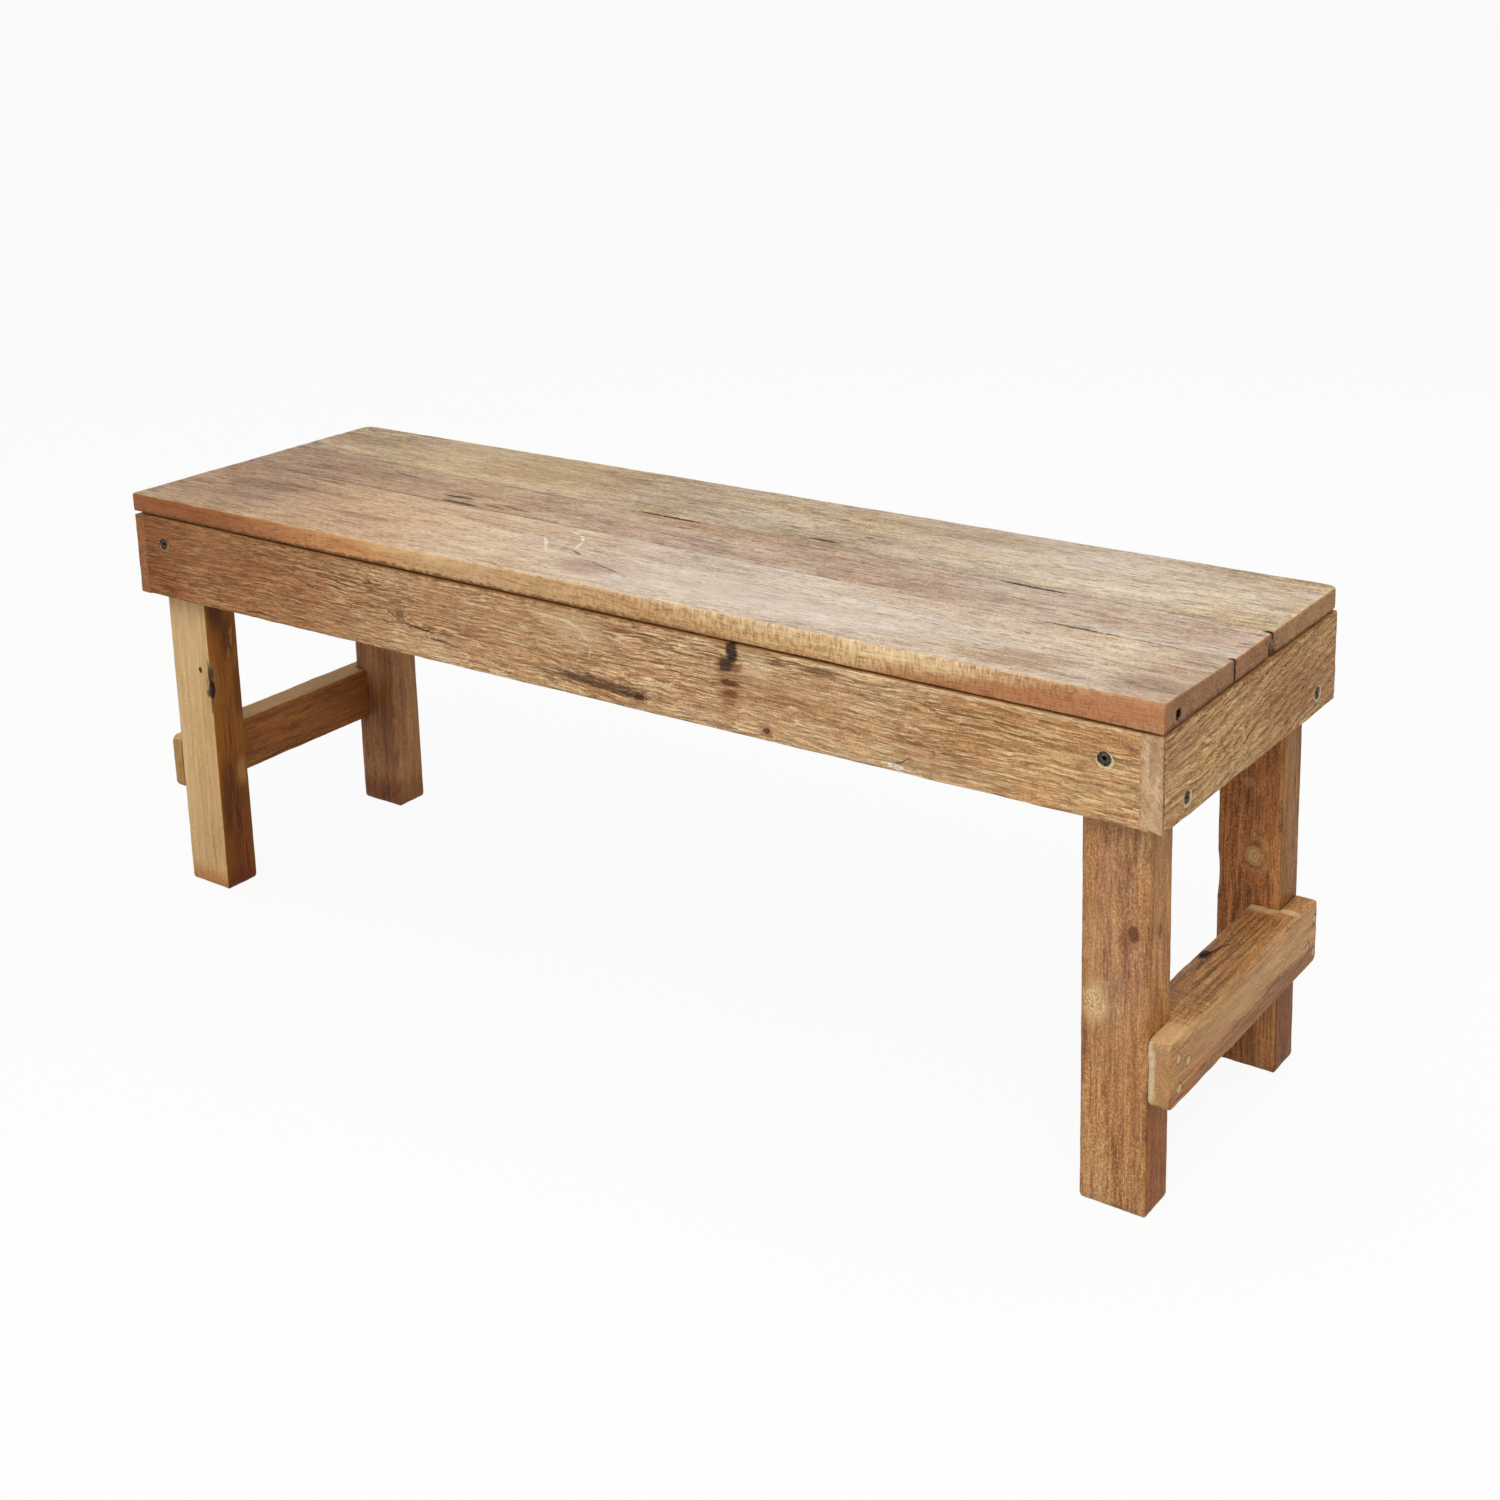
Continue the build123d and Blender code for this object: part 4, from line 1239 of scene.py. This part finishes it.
def makeApronScrew():
    # head up at the origin: stepped rings round a hexagonal socket, then cone, shank and tip
    screw = {key: size * mm for key, size in apronScrew.items()}
    deselectAll()
    bpy.ops.mesh.primitive_cylinder_add(
        vertices=48, radius=screw["radius"], depth=screw["head"], location=(0, 0, -screw["head"] / 2))
    piece = newPiece("apronScrew")
    pick(piece, "FACE", lambda face: face.normal.z > .9)
    bpy.ops.mesh.inset(thickness=screw["rim"])
    bpy.ops.mesh.extrude_region_move(TRANSFORM_OT_translate={"value": (0, 0, -screw["rimDepth"])})
    bpy.ops.mesh.inset(thickness=screw["groove"])
    bpy.ops.mesh.extrude_region_move(TRANSFORM_OT_translate={"value": (0, 0, screw["ringRise"])})
    bpy.ops.mesh.inset(thickness=screw["bossInset"])
    bpy.ops.transform.translate(value=(0, 0, screw["bossRise"]))
    endEdit()
    pick(piece, "FACE", lambda face: face.normal.z < -.9 and face.calc_center_median().z < -.9 * screw["head"])
    for length, scale in ((screw["coneDepth"], screw["shank"] / screw["radius"]), (screw["shankLength"], 1),
                          (screw["tipLength"], apronScrew["tipScale"])):
        bpy.ops.mesh.extrude_region_move(TRANSFORM_OT_translate={"value": (0, 0, -length)})
        bpy.ops.transform.resize(value=(scale, scale, 1))
    endEdit()
    pick(piece, "EDGE", lambda edge: edge.calc_face_angle(0) > .6 and edgeMiddle(edge).z > -1.1 * screw["head"])
    bpy.ops.mesh.bevel(offset=screw["bevel"], segments=2, affect="EDGES", clamp_overlap=True)
    endEdit()
    deselectAll()
    bpy.ops.mesh.primitive_cylinder_add(vertices=6, radius=screw["socket"], depth=screw["socketDepth"] * 2)
    socket = newPiece("cutter")
    addCut(piece, socket)
    applyModifiers(piece)
    bpy.data.objects.remove(socket)
    # the sunk parts of the head are painted dark: painted shade in the socket and the groove
    dirt = [0.0] * len(piece.data.vertices)
    for vertex in piece.data.vertices:
        out, deep = vertex.co.to_2d().length / mm, -vertex.co.z / mm
        for (near, far), (shallow, deepest), amount in screwRecessShade:
            if near <= out < far and shallow < deep < deepest:
                dirt[vertex.index] = amount
    storeWear(piece, dirt)
    return piece


stretcherPlug = {"radius": 4, "length": 5, "inset": 1.2, "crown": (.25, .1), "bevel": .2}


def makePlug():
    # a short peg with a slightly crowned end
    radius, length = stretcherPlug["radius"] * mm, stretcherPlug["length"] * mm
    deselectAll()
    bpy.ops.mesh.primitive_cylinder_add(vertices=32, radius=radius, depth=length, location=(0, 0, -length / 2))
    piece = newPiece("stretcherPlug")
    pick(piece, "FACE", lambda face: face.normal.z > .9)
    for rise in stretcherPlug["crown"]:
        bpy.ops.mesh.inset(thickness=stretcherPlug["inset"] * mm)
        bpy.ops.transform.translate(value=(0, 0, rise * mm))
    endEdit()
    pick(piece, "EDGE", lambda edge: edge.calc_face_angle(0) > .6)
    bpy.ops.mesh.bevel(offset=stretcherPlug["bevel"] * mm, segments=2, affect="EDGES", clamp_overlap=True)
    endEdit()
    return piece


def copyTo(model, name, places):
    # places hold a point in mm, the way it faces and how far the copy sinks in
    copies = []
    for place, way, sink in places:
        piece = model.copy()
        piece.data = model.data.copy()
        bpy.context.collection.objects.link(piece)
        piece.location = (Vector(place) - Vector(way) * sink) * mm
        piece.rotation_euler = Vector(way).to_track_quat("Z", "Y").to_euler()
        piece.rotation_euler.rotate_axis("Z", random.uniform(0, math.tau))
        setPlace(piece)
        copies.append(piece)
    bpy.data.objects.remove(model)
    deselectAll()
    for piece in copies:
        piece.select_set(True)
    bpy.context.view_layer.objects.active = copies[0]
    bpy.ops.object.join()
    copies[0].name = name
    copies[0].data.name = name
    return copies[0]


headSink, plugSink = .7, .1
screwPlaces = ([((x, y * 175, 400), (0, y, 0), headSink) for x in (-554, 550) for y in (-1, 1)]
               + [((x * 600, y, 364), (x, 0, 0), headSink) for x in (-1, 1) for y in (-132.5, 132.5)])
apronScrews = copyTo(makeApronScrew(), "apronScrews", screwPlaces)
finishPiece(apronScrews, "apron_screws", screwSteel, 30)

plugWood = woodMaterial("plugWood", timber(
    seed=45.0, grain=0, heart=(300, 200), ringWidth=3, sway=4, tones=("c09a70", "e2c498", "f5e2c2"), relief=.1,
    washAmount=.1, roughness=.55, endAmount=.2))
plugSites = [(place, right, plugSink) for place in rightPlugs] + [(place, left, plugSink) for place in leftPlugs]
stretcherPlugs = copyTo(makePlug(), "stretcherPlugs", plugSites)
finishPiece(stretcherPlugs, "stretcher_plugs", plugWood, 40)
print("screws and plugs done")


# floor, light and camera

def seenRays(bench):
    # 1 for what the camera sees, also in gloss and through glass
    seen, glossy, passed = bench.node("LightPath", {}, {}).outputs(
        ["Is Camera Ray", "Is Glossy Ray", "Is Transmission Ray"])
    for rays in (glossy, passed):
        seen = seen.maths("MAXIMUM", seen, rays)
    return seen


stage = {"floorSize": 60, "floorColour": "dcdad6", "seenWhite": .93, "worldLight": .5}
deselectAll()
bpy.ops.mesh.primitive_plane_add(size=stage["floorSize"], location=(0, 0, 0))
floor = bpy.context.object
floor.name = "studioFloor"
floorMaterial, bench = startMaterial("studioFloorPaint")
paint = bench.node("BsdfDiffuse", {}, {"Color": shade(stage["floorColour"])})
glow = bench.node("Emission", {}, {"Color": (1, 1, 1, 1), "Strength": 1.0})
mixed = bench.node("MixShader", {}, {0: seenRays(bench) * stage["seenWhite"], 1: paint, 2: glow})
bench.node("OutputMaterial", {}, {"Surface": mixed})
floor.data.materials.append(floorMaterial)

world = bpy.data.worlds.new("studioLight")
bpy.context.scene.world = world
world.use_nodes = True
world.node_tree.nodes.clear()
bench = Wire(world.node_tree)
strength = seenRays(bench) * (1 - stage["worldLight"]) + stage["worldLight"]
sky = bench.node("Background", {}, {"Color": (1, 1, 1, 1), "Strength": strength})
bench.node("OutputWorld", {}, {"Surface": sky})

lamps = [
    {"name": "keyLamp", "at": (1.3, -2.2, 2.9), "size": 1.8, "power": 75},
    {"name": "topLamp", "at": (.4, .3, 3.2), "size": 2.4, "power": 30},
]
lampAim = Vector((0, 0, .3))
for lamp in lamps:
    deselectAll()
    bpy.ops.object.light_add(type="AREA", location=lamp["at"])
    light = bpy.context.object
    light.name = lamp["name"]
    light.data.size = lamp["size"]
    light.data.energy = lamp["power"]
    light.rotation_euler = (lampAim - Vector(lamp["at"])).to_track_quat("-Z", "Y").to_euler()

# fitted to the photograph's corners, with a shift that still leaves the bench whole in the other views
camera = {"at": (1.2482, -1.5736, 1.0449), "turn": (77.01, 1.55, 35.88), "lens": 51.56, "sensor": 36, "shift": -.2333}
bpy.ops.object.camera_add(location=camera["at"], rotation=[math.radians(part) for part in camera["turn"]])
eye = bpy.context.object
eye.name = "photoCamera"
eye.data.lens = camera["lens"]
eye.data.sensor_width = camera["sensor"]
eye.data.shift_y = camera["shift"]
bpy.context.scene.camera = eye
bpy.context.scene.view_settings.view_transform = "Standard"

for guide in grainGuides + swellGuides + nickGuides:
    bpy.data.objects.remove(guide)
deselectAll()
print("scene ready")
